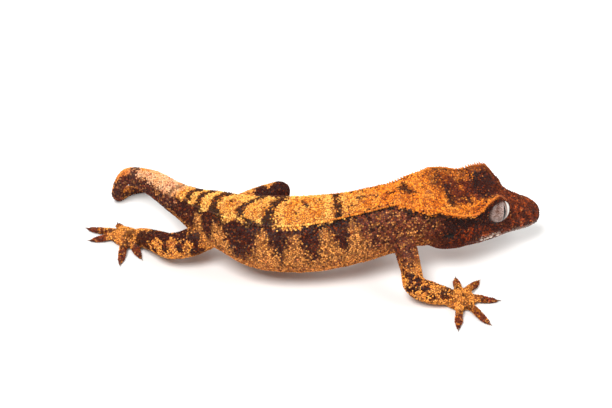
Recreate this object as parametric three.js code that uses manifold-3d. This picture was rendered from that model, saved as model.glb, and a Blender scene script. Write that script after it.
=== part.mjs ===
// A crested gecko walking, as a life-size still model standing on a flat floor.
// Millimetres. +X runs towards the head, +Y towards the animal's left, +Z up, and the floor is z = 0.
// The trunk bows towards its right side, with the head and the tail turned to the left, as in a stride
// with the right forefoot and the left hind foot forward. The tail arches once and then lies on the floor.
// The flesh is lofted along the spine and along each limb, and parted at the joints by thin gaps.
import * as THREE from "three";
import { mergeVertices } from "three/addons/utils/BufferGeometryUtils.js";
import Module from "manifold-3d";

const wasm = await Module();
wasm.setup();

// Driving dimensions
const GAP = 0.3; // between nodes that touch
const ORIGIN = new THREE.Vector3(2.75, 7.1, 0); // the middle of the floor outline, in the posing frame below
const CREST_RIDGE = 0.35; // how far the crest stands off the trunk
const EYE_RADIUS = 3.75;
const CLAW_LENGTH = 1.1;
const RING_SIDES = 30;
const LIMB_SIDES = 13;
const TOE_SIDES = 7;
const RANDOM_SEED = 7;
const SLIVER = 0.035; // faces that stand out less than this are merged after a join

// Materials, one for each kind of surface
const SKIN = new THREE.MeshStandardMaterial({ color: 0xb9722a, roughness: 0.62, metalness: 0 });
const HEAD_SKIN = new THREE.MeshStandardMaterial({ color: 0x7a3d1c, roughness: 0.6, metalness: 0 });
const EYE = new THREE.MeshStandardMaterial({ color: 0x9c9390, roughness: 0.12, metalness: 0 });

const rad = THREE.MathUtils.degToRad;
const UP = new THREE.Vector3(0, 0, 1);

// The spine from the shoulders to the tip of the tail. Each station is the middle of the body there, with
// its half width, its height above and below, and the angle from the middle of the back to each crest.
const SPINE = [
  { name: "shoulder", at: [25.5, 4.6, 16.0], half: 8.7, above: 8.5, below: 9.8, crest: 31 },
  { name: "chest", at: [14.5, 1.9, 14.2], half: 9.5, above: 9.1, below: 9.7, crest: 30 },
  { name: "belly", at: [1.5, 0.0, 13.2], half: 10.3, above: 9.6, below: 9.9, crest: 36 },
  { name: "flank", at: [-10.5, 1.3, 12.9], half: 10.0, above: 9.2, below: 9.4, crest: 40 },
  { name: "loin", at: [-18.0, 5.0, 12.6], half: 8.4, above: 7.9, below: 7.3, crest: 38 },
  { name: "hip", at: [-24.5, 10.2, 11.9], half: 7.2, above: 6.5, below: 6.2, crest: 38 },
  { name: "vent", at: [-30.5, 16.4, 10.9], half: 5.1, above: 4.7, below: 4.9, crest: 34 },
  { name: "tail_root", at: [-36.0, 22.2, 10.5], half: 4.2, above: 3.9, below: 4.1, crest: 34 },
  { name: "tail_rise", at: [-42.2, 27.4, 11.3], half: 3.5, above: 3.3, below: 3.4, crest: 34 },
  { name: "tail_top", at: [-48.6, 30.3, 11.1], half: 2.4, above: 2.4, below: 2.3, crest: 34 },
  { name: "tail_drop", at: [-51.8, 31.6, 6.4], half: 1.7, above: 1.7, below: 1.7, crest: 34 },
  { name: "tail_floor", at: [-52.2, 34.0, 1.7], half: 1.6, above: 1.5, below: 1.7, crest: 34 },
  { name: "tail_curl", at: [-48.5, 37.6, 1.35], half: 1.6, above: 1.5, below: 1.5, crest: 34 },
  { name: "tail_lie", at: [-41.5, 38.8, 1.25], half: 1.45, above: 1.3, below: 1.4, crest: 34 },
  { name: "tail_end", at: [-33.5, 38.0, 1.1], half: 1.35, above: 1.1, below: 1.25, crest: 34 },
  { name: "tail_tip", at: [-27.5, 36.6, 0.85], half: 0.8, above: 0.6, below: 0.95, crest: 34 },
];
// Where the spine's nodes begin and end, by station, with the number of rings in each.
const SPINE_NODES = [
  { name: "torso_chest", from: "shoulder", to: "belly", rings: 10 },
  { name: "torso_belly", from: "belly", to: "loin", rings: 9 },
  { name: "hips", from: "loin", to: "vent", rings: 8 },
  { name: "tail_base", from: "vent", to: "tail_rise", rings: 7 },
  { name: "tail_arch", from: "tail_rise", to: "tail_floor", rings: 11 },
  { name: "tail_end", from: "tail_floor", to: "tail_tip", rings: 14 },
];

// The head, in its own frame: forward from the nape, left of its middle, up from the mouth line.
const HEAD_ORIGIN = new THREE.Vector3(33.2, 6.5, 11.6);
const HEAD_YAW = 16;
const HEAD_PITCH = -6;
const HEAD_ROLL = 8;
// Sections from the nape to the snout: top of the middle, crest, cheek and throat.
const HEAD = [
  { f: 0.2, top: 13.0, crest: 8.2, crestUp: 13.2, cheek: 8.4, cheekUp: 5.0, jaw: 5.7, throat: -3.0 },
  { f: 3.2, top: 12.9, crest: 9.6, crestUp: 12.8, cheek: 9.9, cheekUp: 4.8, jaw: 6.8, throat: -3.9 },
  { f: 7.6, top: 12.5, crest: 9.9, crestUp: 12.1, cheek: 10.2, cheekUp: 4.5, jaw: 7.0, throat: -4.1 },
  { f: 11.4, top: 12.2, crest: 9.2, crestUp: 11.9, cheek: 9.5, cheekUp: 4.4, jaw: 6.6, throat: -3.7 },
  { f: 14.4, top: 12.4, crest: 7.9, crestUp: 14.1, cheek: 8.7, cheekUp: 4.2, jaw: 6.3, throat: -3.7 },
  { f: 17.4, top: 12.3, crest: 6.5, crestUp: 15.2, cheek: 7.8, cheekUp: 4.0, jaw: 5.7, throat: -3.4 },
  { f: 20.5, top: 10.4, crest: 5.2, crestUp: 12.4, cheek: 7.0, cheekUp: 3.6, jaw: 5.0, throat: -3.0 },
  { f: 24.0, top: 8.0, crest: 4.4, crestUp: 8.3, cheek: 5.9, cheekUp: 3.1, jaw: 4.1, throat: -2.4 },
  { f: 27.8, top: 6.6, crest: 3.7, crestUp: 6.3, cheek: 4.9, cheekUp: 2.7, jaw: 3.5, throat: -2.1 },
  { f: 31.2, top: 5.4, crest: 2.8, crestUp: 5.1, cheek: 3.8, cheekUp: 2.2, jaw: 2.8, throat: -1.6 },
  { f: 33.6, top: 3.8, crest: 1.6, crestUp: 3.5, cheek: 2.3, cheekUp: 1.6, jaw: 1.6, throat: -0.8 },
  { f: 34.4, top: 2.3, crest: 0.6, crestUp: 2.1, cheek: 0.8, cheekUp: 1.4, jaw: 0.5, throat: 0.4 },
];
const HEAD_RINGS = 23;
const EYE_AT = new THREE.Vector3(18.5, 4.6, 8.3);
const EYE_AXIS = new THREE.Vector3(0.25, 1, 0.25);
const LID = { wall: 0.7, out: 1.9 }; // a cup of skin round the eyeball, up to a plane across its axis
const EAR = { at: new THREE.Vector3(4.4, 9.9, 4.6), size: new THREE.Vector3(1.5, 1.3, 0.95) };
const NOSTRIL = { at: new THREE.Vector3(31.9, 2.7, 3.0), radius: 0.55 };
const MOUTH = { depth: 0.6, height: 0.42, back: 9.0, front: 34.1, level: 0.5, smile: 1.1 };
const NECK_RINGS = 7;
const NECK_PULL = 8; // how strongly the neck follows the head and the trunk at its ends

// Limbs: joint places with the limb's radius there, the first one inside the trunk, then the sole.
const LIMBS = {
  right_fore: {
    joints: [[25.0, 2.0, 14.0, 3.5], [28.2, -3.6, 11.6, 3.2], [29.8, -9.0, 8.4, 2.9], [30.8, -12.4, 5.5, 3.0],
      [34.6, -13.7, 4.2, 3.05], [38.9, -13.7, 2.9, 2.55], [42.4, -13.3, 1.6, 1.7]],
    parts: ["right_upper_arm", "right_forearm"], middle: 3, sole: [43.0, -13.2],
    palm: [4.4, 4.1, 1.8], heading: -5,
    toes: [[93, 10.4], [57, 10.8], [2, 10.6], [-52, 12.4], [-95, 12.0]],
  },
  right_hind: {
    joints: [[-21.0, 9.0, 11.2, 4.3], [-25.0, 5.4, 9.7, 4.2], [-30.0, 3.6, 7.8, 3.9], [-35.2, 4.2, 6.1, 3.6],
      [-39.8, 8.4, 4.6, 3.1], [-44.0, 12.2, 3.1, 2.6], [-47.8, 14.6, 1.7, 1.8]],
    parts: ["right_thigh", "right_shank"], middle: 3, sole: [-48.8, 15.0],
    palm: [4.7, 3.9, 1.8], heading: 150,
    toes: [[112, 7.8], [157, 12.4], [185, 10.2], [266, 12.0], [298, 10.4]],
  },
  left_fore: {
    joints: [[22.5, 7.0, 14.0, 3.4], [19.8, 12.6, 11.8, 3.0], [15.8, 16.6, 9.9, 2.7], [12.0, 19.4, 7.6, 2.7],
      [13.2, 22.6, 5.2, 2.5], [15.2, 25.4, 2.9, 2.2], [16.6, 27.2, 1.6, 1.6]],
    parts: ["left_upper_arm", "left_forearm"], middle: 3, sole: [17.0, 27.8],
    palm: [4.2, 3.9, 1.6], heading: 50,
    toes: [[-32, 7.4], [8, 8.4], [48, 9.0], [88, 9.4], [128, 8.2]],
  },
  left_hind: {
    joints: [[-19.5, 10.5, 11.8, 4.0], [-15.0, 15.4, 12.0, 3.6], [-10.0, 19.2, 12.2, 3.1], [-5.6, 22.3, 11.8, 2.7],
      [-6.6, 25.0, 7.6, 2.7], [-8.6, 26.6, 3.7, 2.4], [-8.7, 27.6, 1.8, 1.8]],
    parts: ["left_thigh", "left_shank"], middle: 3, sole: [-8.2, 28.0],
    palm: [4.4, 3.8, 1.6], heading: 40,
    toes: [[-52, 7.4], [-12, 8.8], [24, 9.4], [60, 9.4], [128, 8.0]],
  },
};

// A repeatable random number from 0 to 1.
let randomState = RANDOM_SEED;
function random() {
  randomState = (randomState * 16807) % 2147483647;
  return randomState / 2147483647;
}

// Smooth interpolation of a named value through stations with a given place each.
function through(stations, key, place, t) {
  let i = 0;
  while (i < stations.length - 2 && t > place[i + 1]) i++;
  const at = (k) => stations[Math.min(Math.max(k, 0), stations.length - 1)][key];
  const span = place[i + 1] - place[i];
  const u = THREE.MathUtils.clamp((t - place[i]) / span, 0, 1);
  const slope = (k) => {
    const a = Math.max(k - 1, 0);
    const b = Math.min(k + 1, stations.length - 1);
    return (at(b) - at(a)) / (place[b] - place[a]) * span;
  };
  const u2 = u * u;
  const u3 = u2 * u;
  return (2 * u3 - 3 * u2 + 1) * at(i) + (u3 - 2 * u2 + u) * slope(i)
    + (3 * u2 - 2 * u3) * at(i + 1) + (u3 - u2) * slope(i + 1);
}

// Closed solid through rings of points, capped flat at both ends.
function loft(rings) {
  const sides = rings[0].length;
  const position = rings.flat().flatMap((p) => [p.x, p.y, p.z]);
  const index = [];
  for (let r = 0; r < rings.length - 1; r++)
    for (let k = 0; k < sides; k++) {
      const a = r * sides + k;
      const b = r * sides + (k + 1) % sides;
      index.push(a, b, b + sides, a, b + sides, a + sides);
    }
  for (const [ring, start] of [[rings[0], 0], [rings.at(-1), (rings.length - 1) * sides]]) {
    const centre = position.length / 3;
    const mean = ring.reduce((sum, p) => sum.add(p), new THREE.Vector3()).divideScalar(sides);
    position.push(mean.x, mean.y, mean.z);
    for (let k = 0; k < sides; k++) {
      const a = start + k;
      const b = start + (k + 1) % sides;
      if (start) index.push(a, b, centre);
      else index.push(b, a, centre);
    }
  }
  const geometry = new THREE.BufferGeometry();
  geometry.setAttribute("position", new THREE.Float32BufferAttribute(position, 3));
  geometry.setIndex(index);
  return solidOf(geometry);
}

// A three.js geometry as a manifold-3d solid, with its faces pointing out.
function solidOf(geometry) {
  const bare = geometry.clone();
  bare.deleteAttribute("normal");
  bare.deleteAttribute("uv");
  const merged = mergeVertices(bare, 1e-4);
  const triVerts = new Uint32Array(merged.index.array);
  const made = (turned) => {
    const tris = new Uint32Array(triVerts);
    if (turned) for (let i = 0; i < tris.length; i += 3) [tris[i + 1], tris[i + 2]] = [tris[i + 2], tris[i + 1]];
    return new wasm.Manifold(new wasm.Mesh({
      numProp: 3, vertProperties: merged.attributes.position.array, triVerts: tris }));
  };
  const solid = made(false);
  return solid.volume() < 0 ? made(true) : solid;
}

// A geometry moved by a matrix, as a solid.
function placed(geometry, matrix) {
  return solidOf(geometry.clone().applyMatrix4(matrix));
}

// Joined pieces: one closed body, the largest.
function joined(solids) {
  const whole = solids.reduce((a, b) => a.add(b)).simplify(SLIVER);
  return whole.decompose().sort((a, b) => b.volume() - a.volume())[0];
}

// A frame that looks along a direction, with its left level.
function frameAt(point, along) {
  const forward = along.clone().normalize();
  const left = new THREE.Vector3().crossVectors(UP, forward);
  if (left.length() < 0.2) left.set(-1, 0, 0).cross(forward).negate();
  left.normalize();
  const up = new THREE.Vector3().crossVectors(forward, left);
  return { point, forward, left, up };
}

// The spine's curve with a frame that turns without twisting where the tail dives.
const spineCurve = new THREE.CatmullRomCurve3(SPINE.map((s) => new THREE.Vector3(...s.at)), false, "centripetal");
spineCurve.arcLengthDivisions = 600;
const spineLengths = spineCurve.getLengths(600);
const spineLength = spineLengths.at(-1);
const stationAt = SPINE.map((_, i) => spineLengths[Math.round(i / (SPINE.length - 1) * 600)]);
const stationNamed = (name) => stationAt[SPINE.findIndex((s) => s.name === name)];

const FRAME_STEPS = 500;
const spineFrames = [];
for (let i = 0; i <= FRAME_STEPS; i++) {
  const u = i / FRAME_STEPS;
  const point = spineCurve.getPointAt(u);
  const back = spineCurve.getTangentAt(u);
  const forward = back.clone().negate();
  const left = i ? spineFrames[i - 1].left.clone() : new THREE.Vector3().crossVectors(UP, forward);
  const level = new THREE.Vector3().crossVectors(UP, forward);
  left.lerp(level, 0.12 * level.length());
  left.addScaledVector(forward, -left.dot(forward)).normalize();
  spineFrames.push({ point, forward, left, up: new THREE.Vector3().crossVectors(forward, left) });
}
const spineFrame = (s) => spineFrames[Math.round(THREE.MathUtils.clamp(s / spineLength, 0, 1) * FRAME_STEPS)];

const crestAngle = (s) => rad(through(SPINE, "crest", stationAt, s));

// A point of the trunk or tail: s along the spine, an angle from the middle of the back (left is positive)
// and a distance off the surface.
function trunkPoint(s, angle, off = 0) {
  const { left, up } = spineFrame(s);
  const point = spineCurve.getPointAt(THREE.MathUtils.clamp(s / spineLength, 0, 1));
  const half = through(SPINE, "half", stationAt, s);
  const height = through(SPINE, Math.cos(angle) > 0 ? "above" : "below", stationAt, s);
  const fade = 1 - THREE.MathUtils.smoothstep(s, stationNamed("hip"), stationNamed("tail_rise"));
  const near = (Math.abs(angle) - crestAngle(s)) / rad(9);
  const ridge = CREST_RIDGE * fade * Math.exp(-near * near);
  const x = Math.sign(Math.sin(angle)) * Math.abs(Math.sin(angle)) ** 0.94;
  const z = Math.sign(Math.cos(angle)) * Math.abs(Math.cos(angle)) ** 0.94;
  return point.addScaledVector(left, x * (half + off + ridge)).addScaledVector(up, z * (height + off + ridge));
}

// A length of the trunk or tail between two places along the spine.
function trunkSolid(from, to, rings, off = 0) {
  const at = (i) => from + (to - from) * i / (rings - 1);
  return loft(Array.from({ length: rings }, (_, i) =>
    Array.from({ length: RING_SIDES }, (_, k) => trunkPoint(at(i), k / RING_SIDES * 2 * Math.PI, off))));
}

// The head's frame: turned, then pitched, then rolled.
const headMatrix = new THREE.Matrix4().makeTranslation(HEAD_ORIGIN)
  .multiply(new THREE.Matrix4().makeRotationZ(rad(HEAD_YAW)))
  .multiply(new THREE.Matrix4().makeRotationY(rad(-HEAD_PITCH)))
  .multiply(new THREE.Matrix4().makeRotationX(rad(HEAD_ROLL)));
const headPlaces = HEAD.map((section) => section.f);

// One half of a head section, from the middle of the top, over the crest and the cheek, to the throat.
function headProfile(f) {
  const value = (key) => through(HEAD, key, headPlaces, f);
  const [top, crest, crestUp, cheek, cheekUp, jaw, throat] =
    ["top", "crest", "crestUp", "cheek", "cheekUp", "jaw", "throat"].map(value);
  const waist = Math.min(crest, cheek) * 0.97;
  return [[0, top], [crest * 0.55, top + (crestUp - top) * 0.25], [crest * 0.9, crestUp - 0.15], [crest, crestUp - 0.5],
    [waist, crestUp * 0.55 + cheekUp * 0.45], [cheek, cheekUp], [cheek * 0.93, cheekUp * 0.3 + throat * 0.3],
    [jaw, throat * 0.72], [0, throat]];
}
function headRing(f) {
  const half = headProfile(f).map(([y, z]) => new THREE.Vector3(f, y, z));
  const other = half.slice(1, -1).reverse().map((p) => new THREE.Vector3(p.x, -p.y, p.z));
  const curve = new THREE.CatmullRomCurve3([...half, ...other], true, "centripetal");
  const points = Array.from({ length: RING_SIDES }, (_, k) => curve.getPointAt(k / RING_SIDES));
  return points.map((p) => new THREE.Vector3(f, p.y, p.z).applyMatrix4(headMatrix));
}

// A point of the neck between a point of the head and one of the trunk, flowing out of both.
const headForward = new THREE.Vector3(1, 0, 0).transformDirection(headMatrix);
function neckPoint(head, trunk, u) {
  const start = headForward.clone().multiplyScalar(-NECK_PULL);
  const end = spineFrame(0).forward.clone().multiplyScalar(-NECK_PULL);
  const [u2, u3] = [u * u, u * u * u];
  return head.clone().multiplyScalar(2 * u3 - 3 * u2 + 1).addScaledVector(start, u3 - 2 * u2 + u)
    .addScaledVector(trunk, 3 * u2 - 2 * u3).addScaledVector(end, u3 - u2);
}
function neckRing(u, grow = 0) {
  const head = headRing(HEAD[0].f - GAP);
  const rings = head.map((p, k) => neckPoint(p, trunkPoint(0, k / RING_SIDES * 2 * Math.PI), u));
  const middle = rings.reduce((sum, p) => sum.add(p), new THREE.Vector3()).divideScalar(RING_SIDES);
  return rings.map((p) => p.addScaledVector(p.clone().sub(middle).normalize(), grow));
}
function neckSolid(from, to, rings, grow = 0) {
  return loft(Array.from({ length: rings }, (_, i) => neckRing(from + (to - from) * i / (rings - 1), grow)));
}

// A tapered spine or claw from a root, along a direction, with its root sunk below the surface.
function spike(root, along, radius, length, sides = 5) {
  const sunk = radius * 1.1;
  const cone = new THREE.ConeGeometry(radius, length + sunk, sides).translate(0, (length - sunk) / 2, 0);
  const turn = new THREE.Quaternion().setFromUnitVectors(new THREE.Vector3(0, 1, 0), along.clone().normalize());
  return placed(cone, new THREE.Matrix4().compose(root, turn, new THREE.Vector3(1, 1, 1)));
}

// Crest spines of the trunk between two places, on both sides, each leaning back and out.
function trunkSpines(from, to, step, length) {
  const spines = [];
  for (const side of [-1, 1])
    for (let s = from + step / 2; s < to; s += step) {
      const place = s + (random() - 0.5) * step * 0.3;
      const angle = side * crestAngle(place);
      const root = trunkPoint(place, angle);
      const out = trunkPoint(place, angle, 1).sub(root).normalize();
      const lean = out.addScaledVector(spineFrame(place).forward, -0.45);
      spines.push(spike(root, lean, 0.36, length * (0.8 + 0.4 * random())));
    }
  return spines;
}

// Crest spines of the head, from the brow over the temple to the nape. The brow's are the longest.
function headSpines() {
  const spines = [];
  for (const side of [-1, 1])
    for (let f = 1.2; f < 21; f += 1.0) {
      const value = (key) => through(HEAD, key, headPlaces, f);
      const root = new THREE.Vector3(f, side * (value("crest") - 0.25), value("crestUp") - 0.55);
      const brow = Math.exp(-(((f - 17) / 3.5) ** 2));
      const along = new THREE.Vector3(-0.35 + 0.2 * brow, side * 1.0, 0.55);
      const length = (0.85 + 0.55 * brow) * (0.85 + 0.3 * random());
      spines.push(spike(root, along, 0.4, length));
    }
  return spines.map((s) => s.transform(headMatrix.elements));
}

// Crest spines of the neck, which carry on from the head's to the trunk's.
function neckSpines(count, length) {
  const spines = [];
  for (const side of [-1, 1])
    for (let i = 0.5; i < count; i++) {
      const u = i / count;
      const crest = new THREE.Vector3(HEAD[0].f, side * (HEAD[0].crest - 0.35), HEAD[0].crestUp - 0.65);
      const root = neckPoint(crest.applyMatrix4(headMatrix), trunkPoint(0, side * crestAngle(0)), u);
      const out = new THREE.Vector3(-0.45, side * 0.75, 0.8).transformDirection(headMatrix);
      spines.push(spike(root, out, 0.38, length * (0.8 + 0.4 * random())));
    }
  return spines;
}

// Half the head's width at a height, low on its side.
function headHalfAt(f, up) {
  const profile = headProfile(f).slice(3);
  for (let i = 0; i < profile.length - 1; i++) {
    const [y0, z0] = profile[i];
    const [y1, z1] = profile[i + 1];
    if (up <= z0 && up >= z1) return y0 + (y1 - y0) * (z0 - up) / (z0 - z1);
  }
  return 0.5;
}

// The line of the mouth: a thin groove that follows the lips round the snout and rises at its corners.
function mouthGroove() {
  const steps = 26;
  const path = Array.from({ length: steps + 1 }, (_, i) => {
    const side = i / steps * 2 - 1;
    const f = MOUTH.back + (MOUTH.front - MOUTH.back) * (1 - Math.abs(side) ** 2.4);
    const up = MOUTH.level + MOUTH.smile * Math.max(0, 1 - (f - MOUTH.back) / 8) ** 2;
    const half = headHalfAt(f, up) * Math.min(1, Math.abs(side) * 5);
    return new THREE.Vector3(f, Math.sign(side) * half, up);
  });
  const curve = new THREE.CatmullRomCurve3(path, false, "centripetal");
  return loft(Array.from({ length: steps + 1 }, (_, i) => {
    const at = curve.getPoint(i / steps);
    const along = curve.getTangent(i / steps);
    const out = new THREE.Vector3(along.y, -along.x, 0).normalize();
    if (out.dot(new THREE.Vector3(at.x - 15, at.y, 0)) < 0) out.negate();
    const edge = i === 0 || i === steps ? 0.3 : 1;
    return [[0.5, 0], [0, MOUTH.height / 2], [-MOUTH.depth, 0], [0, -MOUTH.height / 2]].map(([o, z]) =>
      at.clone().addScaledVector(out, o * edge).addScaledVector(UP, z * edge).applyMatrix4(headMatrix));
  }));
}

// An ellipsoid in the head's frame.
function headBall(at, size, segments = 12) {
  const ball = new THREE.SphereGeometry(1, segments, Math.round(segments * 0.7));
  return placed(ball, headMatrix.clone()
    .multiply(new THREE.Matrix4().makeTranslation(at))
    .multiply(new THREE.Matrix4().makeScale(size.x, size.y, size.z)));
}
const mirrored = (v) => new THREE.Vector3(v.x, -v.y, v.z);

function eyeBall(side, radius) {
  const at = side > 0 ? EYE_AT : mirrored(EYE_AT);
  return headBall(at, new THREE.Vector3(radius, radius, radius), 18);
}

// The lid: a cup round the eyeball that ends at a plane, so that the eye looks out of it.
function lidCup(side) {
  const flip = (v) => (side > 0 ? v.clone() : mirrored(v));
  const size = EYE_RADIUS + LID.wall;
  const turn = new THREE.Quaternion().setFromUnitVectors(new THREE.Vector3(0, 1, 0), flip(EYE_AXIS).normalize());
  const beyond = new THREE.CylinderGeometry(size * 1.2, size * 1.2, size, 16).translate(0, LID.out + size / 2, 0);
  const place = headMatrix.clone().multiply(
    new THREE.Matrix4().compose(flip(EYE_AT), turn, new THREE.Vector3(1, 1, 1)));
  return headBall(flip(EYE_AT), new THREE.Vector3(size, size, size), 16).subtract(placed(beyond, place));
}

function headSolid() {
  const ends = [headPlaces[0], headPlaces.at(-1)];
  const rings = Array.from({ length: HEAD_RINGS }, (_, i) => {
    const t = i / (HEAD_RINGS - 1);
    return headRing(ends[0] + (ends[1] - ends[0]) * (1 - (1 - t) ** 1.25));
  });
  let head = joined([loft(rings), lidCup(-1), lidCup(1), ...headSpines()]).subtract(mouthGroove());
  for (const side of [-1, 1]) {
    const flip = (v) => (side > 0 ? v.clone() : mirrored(v));
    head = head.subtract(eyeBall(side, EYE_RADIUS + GAP));
    head = head.subtract(headBall(flip(EAR.at), EAR.size, 10));
    const nostril = new THREE.Vector3(NOSTRIL.radius, NOSTRIL.radius, NOSTRIL.radius);
    head = head.subtract(headBall(flip(NOSTRIL.at), nostril, 8));
  }
  return joined([head]);
}

// A limb's tube between two of its joints, along one smooth curve.
function limbCurve(limb) {
  return new THREE.CatmullRomCurve3(limb.joints.map((j) => new THREE.Vector3(...j.slice(0, 3))), false, "centripetal");
}
function limbSolid(limb, from, to, rings) {
  const curve = limbCurve(limb);
  const last = limb.joints.length - 1;
  const places = limb.joints.map((_, i) => i / last);
  const stations = limb.joints.map((j) => ({ radius: j[3] }));
  return loft(Array.from({ length: rings }, (_, i) => {
    const t = from + (to - from) * i / (rings - 1);
    const { left, up } = frameAt(null, curve.getTangent(t));
    const centre = curve.getPoint(t);
    const radius = through(stations, "radius", places, t);
    return Array.from({ length: LIMB_SIDES }, (_, k) => {
      const a = k / LIMB_SIDES * 2 * Math.PI;
      return centre.clone().addScaledVector(left, radius * Math.cos(a)).addScaledVector(up, radius * Math.sin(a));
    });
  }));
}

// A toe from the palm: narrow behind its knuckle, wide at its pad, with a small claw.
function toeSolids(sole, angle, length) {
  const along = new THREE.Vector3(Math.cos(rad(angle)), Math.sin(rad(angle)), 0);
  const across = new THREE.Vector3(-along.y, along.x, 0);
  const shape = [[0.1, 1.4, 1.5, 1.4], [0.34, 1.15, 1.6, 1.15], [0.5, 1.05, 1.45, 1.0], [0.66, 1.35, 1.0, 0.85],
    [0.8, 1.35, 0.75, 0.75], [0.92, 0.9, 0.6, 0.6], [1.0, 0.45, 0.5, 0.4]];
  const rings = shape.map(([t, half, height, thick]) => {
    const centre = new THREE.Vector3(sole[0], sole[1], height).addScaledVector(along, t * length);
    return Array.from({ length: TOE_SIDES }, (_, k) => {
      const a = (k + 0.5) / TOE_SIDES * 2 * Math.PI;
      return centre.clone().addScaledVector(across, half * Math.cos(a)).addScaledVector(UP, thick * Math.sin(a));
    });
  });
  const tip = new THREE.Vector3(sole[0], sole[1], 0.5).addScaledVector(along, length - 0.25);
  return [loft(rings), spike(tip, along.clone().add(new THREE.Vector3(0, 0, -0.12)), 0.3, CLAW_LENGTH)];
}

const floorBlock = placed(new THREE.BoxGeometry(400, 400, 20), new THREE.Matrix4().makeTranslation(0, 0, -10));

// The whole limb with its foot, flat below and clear of the trunk, parted at its middle joint and its wrist
// by thin discs, as its three bodies from the trunk outwards.
function limbBodies(limb, grownTrunk) {
  const [x, y] = limb.sole;
  const palm = placed(new THREE.SphereGeometry(1, 12, 7), new THREE.Matrix4().makeTranslation(x, y, 1.25)
    .multiply(new THREE.Matrix4().makeRotationZ(rad(limb.heading)))
    .multiply(new THREE.Matrix4().makeScale(...limb.palm)));
  const toes = limb.toes.flatMap(([angle, length]) => toeSolids(limb.sole, angle, length));
  let whole = joined([limbSolid(limb, 0, 1, 19), palm, ...toes]);
  whole = joined([whole.subtract(grownTrunk).subtract(floorBlock)]);
  const last = limb.joints.length - 1;
  const curve = limbCurve(limb);
  for (const joint of [limb.middle, last - 1]) {
    const t = joint / last;
    const turn = new THREE.Quaternion().setFromUnitVectors(new THREE.Vector3(0, 1, 0), curve.getTangent(t));
    const disc = new THREE.CylinderGeometry(limb.joints[joint][3] * 1.7, limb.joints[joint][3] * 1.7, GAP, 16);
    whole = whole.subtract(placed(disc,
      new THREE.Matrix4().compose(curve.getPoint(t), turn, new THREE.Vector3(1, 1, 1))));
  }
  const bodies = whole.decompose();
  return [limb.middle * 0.6, (limb.middle + last - 1) / 2, last].map((joint) => {
    const place = curve.getPoint(joint / last);
    const away = (body) => {
      const { min, max } = body.boundingBox();
      return place.distanceTo(new THREE.Vector3(...min).add(new THREE.Vector3(...max)).divideScalar(2))
        - 0.2 * Math.cbrt(body.volume());
    };
    return bodies.reduce((near, body) => (away(body) < away(near) ? body : near));
  });
}

// The parts as named meshes
const gecko = new THREE.Group();
gecko.position.copy(ORIGIN).negate();
function show(name, solid, material) {
  const { numProp, vertProperties, triVerts, numVert } = solid.getMesh();
  const position = new Float32Array(numVert * 3);
  for (let i = 0; i < numVert; i++) position.set(vertProperties.subarray(i * numProp, i * numProp + 3), i * 3);
  const geometry = new THREE.BufferGeometry();
  geometry.setAttribute("position", new THREE.BufferAttribute(position, 3));
  geometry.setIndex(new THREE.BufferAttribute(triVerts, 1));
  geometry.computeVertexNormals();
  const mesh = new THREE.Mesh(geometry, material);
  mesh.name = name;
  gecko.add(mesh);
}

for (const { name, from, to, rings } of SPINE_NODES) {
  const [a, b] = [stationNamed(from) + GAP * 0.7, stationNamed(to) - GAP * 0.7];
  const body = trunkSolid(a, b, rings);
  const length = { torso_chest: 0.75, torso_belly: 0.6, hips: 0.5 }[name];
  const spines = length ? trunkSpines(a, b, 1.9, length) : [];
  show(name, joined([joined([body, ...spines]).subtract(floorBlock)]), SKIN);
}
show("neck", joined([neckSolid(0, 0.99, NECK_RINGS), ...neckSpines(7, 0.9)]), SKIN);
show("head", headSolid(), HEAD_SKIN);
show("left_eye", eyeBall(1, EYE_RADIUS), EYE);
show("right_eye", eyeBall(-1, EYE_RADIUS), EYE);

const grownTrunk = trunkSolid(0, stationNamed("tail_rise"), 40, GAP + 0.1).add(neckSolid(-0.02, 1.02, 8, GAP + 0.1));
for (const [name, limb] of Object.entries(LIMBS)) {
  const names = [...limb.parts, name.replace("fore", "hand").replace("hind", "foot")];
  limbBodies(limb, grownTrunk).forEach((body, i) => show(names[i], body, SKIN));
}

export default gecko;
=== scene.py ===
"""Crested gecko in a walking pose, a life-size museum model on a plain pale floor.

The flesh is one skin, fused from lofts along the spine and the limbs, with granular scales, crest
spines, lip scales, eyes and claws over it. Lengths are in millimetres in the posing frame of the
solids, and a finished piece is put into the row frame, in metres, as its last step.
"""
from __future__ import annotations

import logging
from dataclasses import dataclass, field
from enum import Enum, IntEnum

import bmesh
import bpy
import numpy as np
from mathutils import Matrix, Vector

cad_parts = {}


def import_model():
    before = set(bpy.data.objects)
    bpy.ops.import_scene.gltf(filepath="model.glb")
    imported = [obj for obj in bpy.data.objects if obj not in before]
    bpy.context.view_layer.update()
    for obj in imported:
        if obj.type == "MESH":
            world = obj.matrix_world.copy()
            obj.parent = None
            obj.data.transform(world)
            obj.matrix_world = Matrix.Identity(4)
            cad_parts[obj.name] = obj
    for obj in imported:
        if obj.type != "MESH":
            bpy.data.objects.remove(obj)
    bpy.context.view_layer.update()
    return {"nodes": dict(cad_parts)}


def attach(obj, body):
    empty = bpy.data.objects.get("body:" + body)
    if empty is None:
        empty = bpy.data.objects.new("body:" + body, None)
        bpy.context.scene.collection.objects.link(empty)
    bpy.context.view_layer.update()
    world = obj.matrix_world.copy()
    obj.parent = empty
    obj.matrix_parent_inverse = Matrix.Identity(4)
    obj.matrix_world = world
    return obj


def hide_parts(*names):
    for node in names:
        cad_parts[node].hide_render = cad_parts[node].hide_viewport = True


Array = np.ndarray
Mesh = bpy.types.Mesh
Object = bpy.types.Object
Material = bpy.types.Material
Socket = bpy.types.NodeSocket
Shell = tuple[Array, list[list[int]]]  # vertices and faces of a closed body
Noise = list[Array]  # broad, fine and fine-grained
Pair = tuple[float, float]
Triple = tuple[float, float, float]
Joint = tuple[float, float, float, float]  # a place and the radius there
log = logging.getLogger("gecko")

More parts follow.
